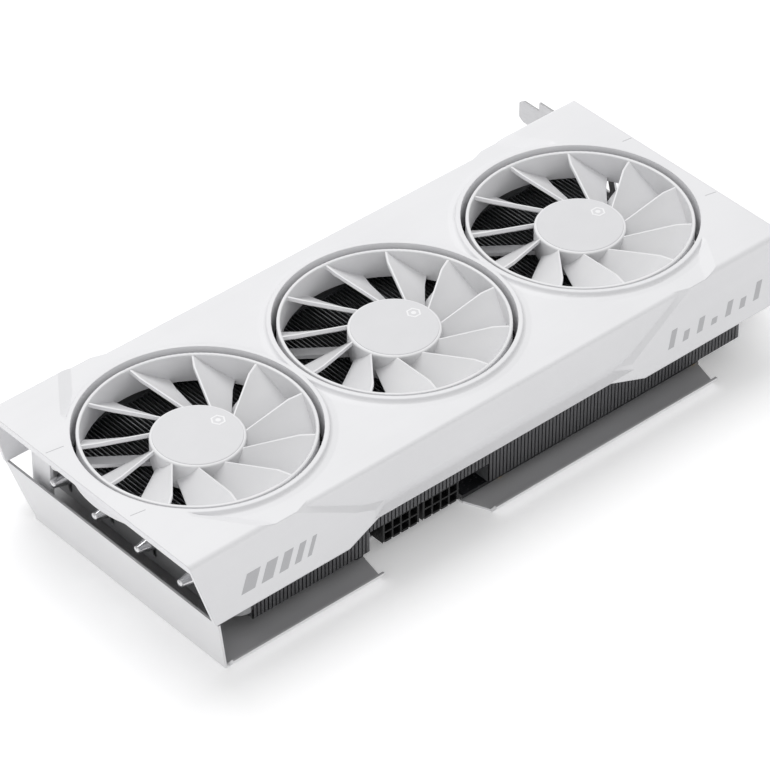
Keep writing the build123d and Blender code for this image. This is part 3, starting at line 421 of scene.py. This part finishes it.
finishes["socket_black"] = compound("black nylon socket", (0.004, 0.004, 0.0045), (0.008, 0.008, 0.009),
                                    0.50, 0.3 * MM, 0.012 * MM)
finishes["chip_black"] = compound("black chip moulding", (0.014, 0.014, 0.015), (0.032, 0.032, 0.034),
                                  0.46, 0.12 * MM, 0.015 * MM)
finishes["choke"] = compound("pressed ferrite choke", (0.13, 0.13, 0.135), (0.24, 0.24, 0.25),
                             0.50, 0.15 * MM, 0.02 * MM, edge=0.4 * MM)
finishes["magnet"] = compound("bonded ferrite magnet", (0.05, 0.05, 0.052), (0.10, 0.10, 0.105),
                              0.55, 0.15 * MM, 0.02 * MM)
finishes["pad"] = compound("soft thermal pad", (0.34, 0.38, 0.44), (0.46, 0.50, 0.56),
                           0.62, 0.25 * MM, 0.03 * MM, edge=0.3 * MM)
finishes["silicon"] = compound("lapped silicon", (0.16, 0.165, 0.18), (0.20, 0.205, 0.22),
                               0.08, 0.6 * MM, 0.002 * MM)
print(len(finishes), "finishes")

# %% [markdown]
# ## Stator
#
# The stator is a stack of steel sheets with copper wire wound round its six arms, as one part. The
# wire stands proud of the stack above and below, so height alone separates the two: bright steel
# within the stack, and enamelled copper wire, ribbed like the winding, outside it.

# %% Stator
WIRE_OVERHANG = 0.9 * MM
WIRE_PITCH = 0.35 * MM


def stator_finish():
    low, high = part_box("stator_middle")
    middle = (low.z + high.z) / 2
    stack = (high.z - low.z) / 2 - WIRE_OVERHANG
    made = Finish("stator steel and copper wire", {"Metallic": 1.0})
    z = made.axes()[2]
    wire = abs(z - middle) > stack
    rings = spun_rings(made, WIRE_PITCH)
    steel = made.mix(made.noise(0.5 * MM), (0.42, 0.42, 0.43), (0.30, 0.30, 0.31))
    copper = made.mix(rings, (0.70, 0.30, 0.12), (0.40, 0.14, 0.05))
    made.use({"Base Color": made.mix(wire, steel, copper), "Roughness": 0.30 + rings * 0.12})
    return made.relief(rings * wire, 0.08 * MM)


finishes["stator"] = stator_finish()
print(len(finishes), "finishes with the stator's")

# %% [markdown]
# ## Dress the solid parts
#
# The record says which finish each part takes. Every part gets the one for its slot.

# %% Dress the solid parts
slot_of = {part["node"]: part["material_slot"] for part in frame["record"]["subparts"]}
for name, part in nodes.items():
    part.data.materials.clear()
    part.data.materials.append(finishes[slot_of[name]].material)
print("dressed", len(nodes), "parts in", len(set(slot_of.values())), "finishes")

# %% [markdown]
# ## Tools for small pieces
#
# The pieces that are added from here on are flat printed marks, turned tips and small soldered parts.
# A slab is an outline given thickness, and a turned piece is a profile carried round an axis. Each
# piece rides on a body, so that it moves with it, and takes the finish of its slot unless it is given
# one of its own.

# %% Slabs, turned pieces and how a piece joins the card
def add_piece(name, mesh, slot, body, finish=None):
    piece = bpy.data.objects.new(name, mesh)
    bpy.context.scene.collection.objects.link(piece)
    mesh.materials.append((finish or finishes[slot]).material)
    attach(piece, body)
    return piece


def mesh_of(name, points, faces, smooth=False):
    mesh = bpy.data.meshes.new(name)
    mesh.from_pydata([tuple(p) for p in points], [], faces)
    shell = bmesh.new()
    shell.from_mesh(mesh)
    bmesh.ops.recalc_face_normals(shell, faces=shell.faces)
    shell.to_mesh(mesh)
    shell.free()
    for face in mesh.polygons:
        face.use_smooth = smooth
    return mesh


def slabs(name, outlines, lower, upper):
    """One closed slab for each outline, from lower(point) to upper(point)."""
    points = []
    faces = []
    for outline in outlines:
        start = len(points)
        count = len(outline)
        points += [lower(p) for p in outline] + [upper(p) for p in outline]
        faces.append([start + i for i in range(count)])
        faces.append([start + count + i for i in range(count)])
        for i in range(count):
            j = (i + 1) % count
            faces.append([start + i, start + j, start + count + j, start + count + i])
    return mesh_of(name, points, faces)


def turned(name, profile, to_space, steps=40):
    """A closed shell from a profile of (radius, height) that starts and ends on its axis."""
    points = [to_space(0.0, 0.0, profile[0][1]), to_space(0.0, 0.0, profile[-1][1])]
    rings = []
    for radius, height in profile[1:-1]:
        rings.append(len(points))
        for i in range(steps):
            angle = tau * i / steps
            points.append(to_space(radius * cos(angle), radius * sin(angle), height))
    faces = []
    for i in range(steps):
        j = (i + 1) % steps
        faces.append([0, rings[0] + i, rings[0] + j])
        faces.append([1, rings[-1] + i, rings[-1] + j])
        for a, b in zip(rings, rings[1:]):
            faces.append([a + i, a + j, b + j, b + i])
    return mesh_of(name, points, faces, smooth=True)


def circle(x, y, radius, steps):
    angles = [tau * i / steps for i in range(steps)]
    return [(x + radius * cos(angle), y + radius * sin(angle)) for angle in angles]


print("small-piece tools ready")

# %% [markdown]
# ## Printed marks
#
# Cards carry a maker's print on the near wall and on each hub. Here it is plain ornament: slanted
# bars on the wall, and a small ringed dot on each hub. A print is only a film, so each mark is a slab
# that stands a few hundredths of a millimetre proud. The wall leans, so a ray finds the wall's own
# surface under every corner of a bar, which is surer than working the slope out again.

# %% Print film
def print_film():
    made = Finish("grey print film", {"IOR": 1.5})
    speck = made.noise(0.3 * MM)
    made.use({"Base Color": made.mix(speck, (0.50, 0.50, 0.515), (0.45, 0.45, 0.465))})
    made.use({"Roughness": 0.32 + speck * 0.1})
    return made.relief(speck, 0.006 * MM)


film = print_film()
FILM = 0.04 * MM
cover_low, cover_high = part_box("cover")
RAY_START = cover_low.y - 20 * MM


def on_near_wall(x, z):
    """The point of the near wall at that place along and up the card."""
    return nodes["cover"].ray_cast(Vector((x, RAY_START, z)), Vector((0, 1, 0)))[1]


def wall_bars(name, bars, foot, top, lean):
    """Slanted bars on the near wall, each (left, right, share of the height)."""
    outlines = []
    for left, right, share in bars:
        level = foot + (top - foot) * share
        shift = lean * share
        outlines.append([(left, foot), (right, foot), (right + shift, level), (left + shift, level)])
    mesh = slabs(name, outlines, lambda p: on_near_wall(*p) + Vector((0, FILM, 0)),
                 lambda p: on_near_wall(*p) - Vector((0, FILM, 0)))
    return add_piece(name, mesh, "cover_plastic", "card", film)


print("the near wall starts at Y", round(cover_low.y, 4))

# %% Bars on the near wall
TAIL_PRINT = {"foot": 28.0 * MM, "top": 35.6 * MM, "lean": 3.4 * MM}
HEAD_PRINT = {"foot": 27.6 * MM, "top": 35.2 * MM, "lean": 2.4 * MM}
TAIL_START = -127.0 * MM
TAIL_GAP = 3.0 * MM
TAIL_WIDTHS = [(6.4 - 1.1 * i) * MM for i in range(5)]
HEAD_START = 85.0 * MM
HEAD_GAP = 4.6 * MM
HEAD_WIDTH = 3.0 * MM
HEAD_SHARES = (1, 0.55, 0.8, 0.35, 0.8, 0.55, 1)


def bar_row(start, widths, gap):
    row = []
    x = start
    for width, share in widths:
        row.append((x, x + width, share))
        x += width + gap
    return row


tail_bars = bar_row(TAIL_START, [(width, 1) for width in TAIL_WIDTHS], TAIL_GAP)
head_bars = bar_row(HEAD_START, [(HEAD_WIDTH, share) for share in HEAD_SHARES], HEAD_GAP)
wall_bars("tail_print_bars", tail_bars, **TAIL_PRINT)
wall_bars("head_print_bars", head_bars, **HEAD_PRINT)
print(len(tail_bars), "and", len(head_bars), "bars on the near wall")

# %% Ringed dot on each hub
MARK_OFFSET = Vector((11.0 * MM, 1.6 * MM, 0))
MARK_OUTER = 3.0 * MM
MARK_INNER = 2.3 * MM
DOT_R = 1.0 * MM


def hub_mark(name, centre):
    """A hexagonal ring with a dot in it."""
    outer = circle(centre.x, centre.y, MARK_OUTER, 6)
    inner = circle(centre.x, centre.y, MARK_INNER, 6)
    outlines = [[outer[i - 6], outer[i - 5], inner[i - 5], inner[i - 6]] for i in range(6)]
    outlines.append(circle(centre.x, centre.y, DOT_R, 24))
    return slabs(name, outlines, lambda p: Vector((*p, centre.z - FILM)),
                 lambda p: Vector((*p, centre.z + FILM)))


hub_film = Finish("white print film", {"IOR": 1.5})
hub_speck = hub_film.noise(0.3 * MM)
hub_film.use({"Base Color": hub_film.mix(hub_speck, (0.90, 0.90, 0.91), (0.84, 0.84, 0.85))})
hub_film.use({"Roughness": 0.28 + hub_speck * 0.1})
for name, x in fan_x.items():
    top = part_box(f"hub_disc_{name}")[1].z
    mark = hub_mark(f"hub_mark_{name}", Vector((x, 0, top)) + MARK_OFFSET)
    add_piece(f"hub_mark_{name}", mark, "hub_disc", f"{name}_fan", hub_film)
print("marks on", len(fan_x), "hubs")

# %% [markdown]
# ## Witness lines
#
# Near each end of the cover's top, two short lines show where slides of the mould met. They are fine
# grooves whose shade is painted: hair-thin slabs just proud of the surface, darker than the plastic.

# %% Witness lines
# Each is its two ends in plan, in millimetres.
WITNESS = [((-147.0, 24.3), (-139.7, 23.1)), ((-146.0, -22.9), (-139.8, -23.9)),
           ((142.1, 24.5), (146.5, 23.9)), ((141.3, -22.5), (146.2, -23.6))]
LINE_HALF = 0.17 * MM


def witness_outline(start, end):
    a = Vector(start) * MM
    b = Vector(end) * MM
    across = (b - a).orthogonal().normalized() * LINE_HALF
    return [a + across, b + across, b - across, a - across]


# Painted shade: the darker grey stands in for the shade in the fine groove of each witness line.
witness_shade_film = Finish("painted shade of mould witness line", {"IOR": 1.5})
line_speck = witness_shade_film.noise(0.4 * MM)
witness_shade_film.use({"Base Color": witness_shade_film.mix(line_speck, (0.52, 0.52, 0.535), (0.46, 0.46, 0.475))})
witness_shade_film.use({"Roughness": 0.5 + line_speck * 0.1})
lines = slabs("witness_lines", [witness_outline(*pair) for pair in WITNESS],
              lambda p: Vector((*p, cover_high.z - FILM)), lambda p: Vector((*p, cover_high.z + FILM / 4)))
add_piece("witness_lines", lines, "cover_plastic", "card", witness_shade_film)
print(len(WITNESS), "witness lines")

# %% [markdown]
# ## Pipe tips
#
# A heat pipe is closed by swaging: a die squeezes its end down to a neck, which is then cut and
# welded into a small bead. The solid pipe ends in a plain cone. A turned tip goes over that cone,
# with the die's shoulder, the neck and the bead as one smooth profile.

# %% Pipe tips
# The profile is (radius, height) in millimetres, from the pipe's shoulder to the bead's end.
TIP_PROFILE = [(0.0, -0.2), (3.03, -0.2), (3.03, 0.5), (2.97, 1.4), (2.75, 2.8), (2.42, 4.2), (2.1, 5.4),
               (1.84, 6.5), (1.7, 7.2), (1.62, 7.6), (1.38, 7.95), (0.9, 8.2), (0.0, 8.3)]
TIP_LENGTH = 8.0 * MM
AT_END = 0.1 * MM

for i in range(4):
    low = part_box(f"heat_pipe_{i + 1}")[0]
    end_points = [v.co for v in nodes[f"heat_pipe_{i + 1}"].data.vertices if v.co.x < low.x + AT_END]
    centre = sum(end_points, Vector()) / len(end_points)
    root_x = low.x + TIP_LENGTH

    def to_pipe_end(a, b, height, centre=centre, root_x=root_x):
        return Vector((root_x - height, centre.y + a, centre.z + b))

    tip = turned(f"pipe_tip_{i + 1}", [(r * MM, h * MM) for r, h in TIP_PROFILE], to_pipe_end)
    add_piece(f"pipe_tip_{i + 1}", tip, "pipe_nickel", "card")
    print("pipe", i + 1, "ends at", round(low.x, 4), "axis y", round(centre.y, 4), "z", round(centre.z, 4))

# %% [markdown]
# ## Folded fin edges
#
# A stamped fin has a short flange folded along its two ends. Each flange reaches over to the next fin
# and closes the gap between them, so that air leaves only where the maker wants it to, and the side
# of the stack reads as a ribbed wall. The flanges get a near-black grey, far darker than aluminium:
# painted shade, for the shadow on the side of the stack under the cover. The solid fins are plain
# sheets. Their places and their heights are read from their own edges, and each gets its flange, one
# slab per gap.

# %% Folded fin edges
FLANGE_GAP = 0.04 * MM
FLANGE_T = 0.3 * MM
FIN_STEP = 1.0 * MM             # more than a fin's own thickness, less than the pitch
ON_SIDE = 0.05 * MM
stack_low, stack_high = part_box("fin_stack")
stack_top = max(v.co.z for v in nodes["fin_stack"].data.vertices if v.co.y < stack_low.y + ON_SIDE)
# Painted shade: the flanges' near-black grey stands in for the shadow on the side of the fin stack.
fold_painted_shade = metal("folded fin edge in painted shade", (0.115, 0.115, 0.12), (0.075, 0.075, 0.08), 0.42,
                    0.16, 0.5 * MM, ALONG_Z, 0.02 * MM, metallic=0.35)


def fin_edges(side):
    """For each fin that reaches the side at that Y: its first X and the height of its foot."""
    feet = {}
    fins = []
    for vertex in nodes["fin_stack"].data.vertices:
        if abs(vertex.co.y - side) < ON_SIDE:
            x = round(vertex.co.x, 5)
            feet[x] = min(vertex.co.z, feet.get(x, 1.0))
    for x in sorted(feet):
        if not fins or x - fins[-1][0] > FIN_STEP:
            fins.append((x, feet[x]))
    return fins


def fold_wall(name, side, inward):
    fins = fin_edges(side)
    outlines = []
    for (x, foot), (next_x, next_foot) in zip(fins, fins[1:]):
        foot = max(foot, next_foot)
        outlines.append([(x, foot), (next_x - FLANGE_GAP, foot), (next_x - FLANGE_GAP, stack_top),
                         (x, stack_top)])
    mesh = slabs(name, outlines, lambda p: Vector((p[0], side, p[1])),
                 lambda p: Vector((p[0], side + inward * FLANGE_T, p[1])))
    add_piece(name, mesh, "fin_aluminium", "card", fold_painted_shade)
    return len(outlines)


print("folds:", fold_wall("near_fin_folds", stack_low.y, 1), "near,",
      fold_wall("far_fin_folds", stack_high.y, -1), "far")

# %% [markdown]
# ## Small soldered parts
#
# Behind the cover, a strip of the board lies open along the slot edge. On it sit rows of chip
# capacitors and resistors, and a few small controllers. A chip capacitor is a tan ceramic body
# between two tinned caps. Each kind is one mesh of many small blocks with softened edges, laid out
# with a fixed seed, so that the rows look hand-placed yet never change.

# %% Blocks with softened edges
board_low, board_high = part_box("board")


def blocks(name, places, size, lift=0.0):
    """Equal blocks standing on the board, centred on each place."""
    half = Vector(size) / 2
    foot = board_high.z + lift
    outlines = [[(x - half.x, y - half.y), (x + half.x, y - half.y), (x + half.x, y + half.y),
                 (x - half.x, y + half.y)] for x, y in places]
    return slabs(name, outlines, lambda p: Vector((*p, foot)), lambda p: Vector((*p, foot + size[2])))


def soften(piece, width):
    edges = piece.modifiers.new("softened edges", "BEVEL")
    edges.width = width
    edges.segments = 2
    edges.limit_method = "ANGLE"


print("the board runs from X", round(board_low.x, 4), "to", round(board_high.x, 4))

# %% Chip capacitors and resistors
STRIP_Y = (63.4 * MM, 68.6 * MM)
STRIP_START = board_low.x + 6 * MM
STRIP_END = 58 * MM
CHIP_PITCH = 1.7 * MM
SKIPPED = 0.12                  # share of the places that are left empty
draw = Random(7)
row_places = []
for row_y in (STRIP_Y[0], (STRIP_Y[0] + STRIP_Y[1]) / 2, STRIP_Y[1]):
    x = STRIP_START
    while x < STRIP_END:
        run = draw.randint(3, 8)
        for _ in range(run):
            if draw.random() > SKIPPED:
                row_places.append((x, row_y + draw.uniform(-0.05, 0.05) * MM))
            x += CHIP_PITCH
        x += draw.uniform(2.5, 8.0) * MM

CHIP = (0.8 * MM, 1.6 * MM, 0.75 * MM)
CAP_LENGTH = 0.35 * MM
CAP_PROUD = 0.04 * MM
ceramic = compound("tan ceramic", (0.34, 0.25, 0.16), (0.42, 0.32, 0.21), 0.42, 0.1 * MM, 0.006 * MM)
resistor = compound("black resistor body", (0.012, 0.012, 0.013), (0.03, 0.03, 0.03), 0.3,
                    0.1 * MM, 0.004 * MM)
kinds = {"ceramic_chips": (ceramic, [p for i, p in enumerate(row_places) if i % 3]),
         "resistor_chips": (resistor, row_places[::3])}
chip_body = (CHIP[0], CHIP[1] - 2 * CAP_LENGTH, CHIP[2])
for name, (finish, places) in kinds.items():
    soften(add_piece(name, blocks(name, places, chip_body), "chip_black", "card", finish), 0.06 * MM)
ends = [(x, y + s * (CHIP[1] - CAP_LENGTH) / 2) for x, y in row_places for s in (-1, 1)]
end_size = (CHIP[0] + CAP_PROUD, CAP_LENGTH, CHIP[2] + CAP_PROUD)
soften(add_piece("chip_end_caps", blocks("chip_end_caps", ends, end_size), "contact", "card"), 0.08 * MM)
print(len(row_places), "chip parts with", len(ends), "end caps")

# %% Small controllers with their leads
controllers = [(-52 * MM, 57.5 * MM), (-30 * MM, 57.5 * MM), (52 * MM, 66 * MM)]
BODY = (5.0 * MM, 4.0 * MM, 1.0 * MM)
BODY_LIFT = 0.15 * MM
LEAD = (0.45 * MM, 1.2 * MM, 0.3 * MM)
LEAD_PITCH = 1.27 * MM
LEAD_OUT = 2.5 * MM
body_mesh = blocks("controllers", controllers, BODY, BODY_LIFT)
soften(add_piece("controllers", body_mesh, "chip_black", "card"), 0.12 * MM)
leads = [(x + (i - 1.5) * LEAD_PITCH, y + s * LEAD_OUT)
         for x, y in controllers for i in range(4) for s in (-1, 1)]
soften(add_piece("controller_leads", blocks("controller_leads", leads, LEAD), "contact", "card"), 0.06 * MM)
print(len(controllers), "controllers,", len(leads), "leads")

# %% [markdown]
# ## Contacts in the display sockets
#
# Each display socket has a tongue with a row of gold contacts on it. The tongue is part of the
# socket. The contacts are a thin slab each, so that a look into the mouth finds them.

# %% Socket contacts
port_low, port_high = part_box("displayport_sockets")
small_low, small_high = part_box("hdmi_sockets")
PORT_WIDE = 18.0 * MM
PORTS = 3
TONGUE_HALF = 0.6 * MM
CONTACTS = 10
CONTACT_WIDE = 0.5 * MM
CONTACT_X = (port_high.x - 8 * MM, port_high.x - 1.7 * MM)
SUNK = Vector((0, 0, 0.02 * MM))
PROUD = Vector((0, 0, 0.05 * MM))
port_pitch = (port_high.y - port_low.y - PORT_WIDE) / (PORTS - 1)
port_level = (port_low.z + port_high.z) / 2 + TONGUE_HALF
small_level = (small_low.z + small_high.z) / 2 + TONGUE_HALF
# Each tongue is the Y of its centre, the width of its row of contacts and its own height.
tongues = [(port_low.y + PORT_WIDE / 2 + i * port_pitch, 10 * MM, port_level) for i in range(PORTS)]
tongues.append(((small_low.y + small_high.y) / 2, 8.6 * MM, small_level))
strips = []
for y, width, level in tongues:
    for k in range(CONTACTS):
        left = y + (k - (CONTACTS - 1) / 2) * width / CONTACTS - CONTACT_WIDE / 2
        right = left + CONTACT_WIDE
        strips.append([(CONTACT_X[0], left, level), (CONTACT_X[1], left, level),
                       (CONTACT_X[1], right, level), (CONTACT_X[0], right, level)])
contact_mesh = slabs("display_contacts", strips, lambda p: Vector(p) - SUNK, lambda p: Vector(p) + PROUD)
add_piece("display_contacts", contact_mesh, "gold", "card")
print(len(strips), "display contacts")

# %% [markdown]
# ## Screws at the back
#
# The five countersunk screws of the backplate are seen from below. Each has a cross recess. A recess
# is a hole, so it can't be laid on: each screw is turned afresh, and a Boolean cuts a cross out of
# its head. The new screws stand for the plain ones. Their places are read from the plain
# ones, which are separate islands of one mesh: points that edges join belong to the same screw.

# %% Find the separate screws
def islands(node):
    """The boxes of the separate solids in a part, as (lowest, highest) corners."""
    shape = bmesh.new()
    shape.from_mesh(nodes[node].data)
    bmesh.ops.remove_doubles(shape, verts=shape.verts, dist=1e-6)
    shape.verts.ensure_lookup_table()
    seen = set()
    found = []
    for start in shape.verts:
        if start.index in seen:
            continue
        group = []
        queue = [start]
        seen.add(start.index)
        while queue:
            vertex = queue.pop()
            group.append(vertex.co.copy())
            for edge in vertex.link_edges:
                other = edge.other_vert(vertex)
                if other.index not in seen:
                    seen.add(other.index)
                    queue.append(other)
        low = Vector([min(p[k] for p in group) for k in range(3)])
        high = Vector([max(p[k] for p in group) for k in range(3)])
        found.append((low, high))
    shape.free()
    return found


print(len(islands("backplate_screws")), "screws in the backplate")

# %% A screw with a cross recess
HEAD_R = 2.0 * MM
HEAD_EDGE = (0.12 * MM, 0.1 * MM)   # the broken edge of the head, inwards and upwards
HEAD_DEEP = 1.05 * MM
SHANK_R = 1.0 * MM
TAPER = 0.4 * MM
RECESS = 0.55 * MM


def recessed_screw(name, x, y, foot, tip):
    """A countersunk screw, head down, and the cutter for the cross in its head."""
    profile = [(0.0, foot), (HEAD_R - HEAD_EDGE[0], foot), (HEAD_R, foot + HEAD_EDGE[1]),
               (SHANK_R, foot + HEAD_DEEP), (SHANK_R, tip - TAPER), (SHANK_R * 0.7, tip), (0.0, tip)]
    mesh = turned(name, profile, lambda a, b, h: Vector((x + a, y + b, h)))
    arm = 1.25 * MM
    thin = 0.24 * MM
    cross = [(-arm, -thin), (-thin, -thin), (-thin, -arm), (thin, -arm), (thin, -thin), (arm, -thin),
             (arm, thin), (thin, thin), (thin, arm), (-thin, arm), (-thin, thin), (-arm, thin)]
    cutter = slabs(name + "_cutter", [cross], lambda p: Vector((x + p[0], y + p[1], foot - 1 * MM)),
                   lambda p: Vector((x + p[0] * 0.5, y + p[1] * 0.5, foot + RECESS)))
    return mesh, cutter


def cut_out(piece, cutter_mesh):
    """Cut the cutter's shape out of a piece for good."""
    cutter = bpy.data.objects.new("cutter", cutter_mesh)
    bpy.context.scene.collection.objects.link(cutter)
    boolean = piece.modifiers.new("cut", "BOOLEAN")
    boolean.operation = "DIFFERENCE"
    boolean.object = cutter
    boolean.solver = "EXACT"
    bpy.context.view_layer.update()
    result = bpy.data.meshes.new_from_object(piece.evaluated_get(bpy.context.evaluated_depsgraph_get()))
    piece.modifiers.clear()
    piece.data = result
    bpy.data.objects.remove(cutter)


print("a screw's head is", 2 * HEAD_R, "across")

# %% Backplate screws
for i, (low, high) in enumerate(islands("backplate_screws")):
    x = (low.x + high.x) / 2
    y = (low.y + high.y) / 2
    name = f"back_screw_{i + 1}"
    mesh, cutter = recessed_screw(name, x, y, low.z, high.z)
    piece = add_piece(name, mesh, "screw", "card")
    cut_out(piece, cutter)
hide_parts("backplate_screws")

# %% [markdown]
# ## Camera
#
# The view is a long-lens product view from the open end, well above the card. A long lens keeps the
# three fans nearly the same size. The camera is placed by angle and distance about a point in the
# card, so that each of those can be changed by itself.

# %% Camera
AZIMUTH = radians(-41.466)
ELEVATION = radians(39.019)
DISTANCE = 1.639
TARGET = Vector((-0.0312, -0.0241, 0.0505))
back = Vector((sin(AZIMUTH) * cos(ELEVATION), -cos(AZIMUTH) * cos(ELEVATION), sin(ELEVATION)))
lens = bpy.data.cameras.new("camera")
lens.lens = 208.14
lens.sensor_width = 36.0
lens.shift_x = 0.0132
lens.clip_start = 0.05
lens.clip_end = 50.0
camera = bpy.data.objects.new("camera", lens)
camera.location = TARGET + back * DISTANCE
camera.rotation_euler = (-back).to_track_quat("-Z", "Y").to_euler()
bpy.context.scene.collection.objects.link(camera)
bpy.context.scene.camera = camera
print("camera at", [round(v, 3) for v in camera.location])

# %% [markdown]
# ## Floor and light
#
# White on white only reads if the light has a direction. The sky gives an even fill, a broad panel
# overhead makes the top the brightest face, and a second panel low on the open side keeps the walls
# from going grey. The floor is nearly white and runs out of sight on every side. It gives off a little
# light of its own, like a lit sweep, which thins the shadow.

# %% Floor
FLOOR_HALF = 12.0
FLOOR_DEEP = 0.05
floor_z = cad_box[0][2]
floor_mesh = slabs("floor", [[(-FLOOR_HALF, -FLOOR_HALF), (FLOOR_HALF, -FLOOR_HALF),
                              (FLOOR_HALF, FLOOR_HALF), (-FLOOR_HALF, FLOOR_HALF)]],
                   lambda p: Vector((*p, floor_z - FLOOR_DEEP)), lambda p: Vector((*p, floor_z)))
floor = bpy.data.objects.new("floor", floor_mesh)
bpy.context.scene.collection.objects.link(floor)
floor_finish = Finish("pale studio floor", {"Roughness": 0.9, "Specular IOR Level": 0.1,
                                            "Emission Color": (1.0, 1.0, 1.0), "Emission Strength": 0.2})
floor_tone = floor_finish.noise(0.4)
floor_finish.use({"Base Color": floor_finish.mix(floor_tone, (0.93, 0.93, 0.935), (0.91, 0.91, 0.915))})
floor_mesh.materials.append(floor_finish.material)
print("floor at", floor_z)

# %% Lights
def panel(name, place, aim, size, power):
    light = bpy.data.lights.new(name, "AREA")
    light.shape = "RECTANGLE"
    light.size, light.size_y = size
    light.energy = power
    lamp = bpy.data.objects.new(name, light)
    lamp.location = place
    lamp.rotation_euler = (Vector(aim) - Vector(place)).to_track_quat("-Z", "Y").to_euler()
    bpy.context.scene.collection.objects.link(lamp)


world = bpy.data.worlds.new("studio")
bpy.context.scene.world = world
world.use_nodes = True
sky = world.node_tree.nodes["Background"]
sky.inputs["Color"].default_value = (1.0, 1.0, 1.0, 1.0)
sky.inputs["Strength"].default_value = 0.645
panel("overhead panel", (0.15, 0.75, 1.5), (0, 0, 0), (1.0, 1.0), 13.0)
panel("open side panel", (-1.4, -0.7, 0.7), (0, 0, 0.03), (0.9, 0.9), 2.0)
bpy.context.scene.view_settings.view_transform = "Standard"
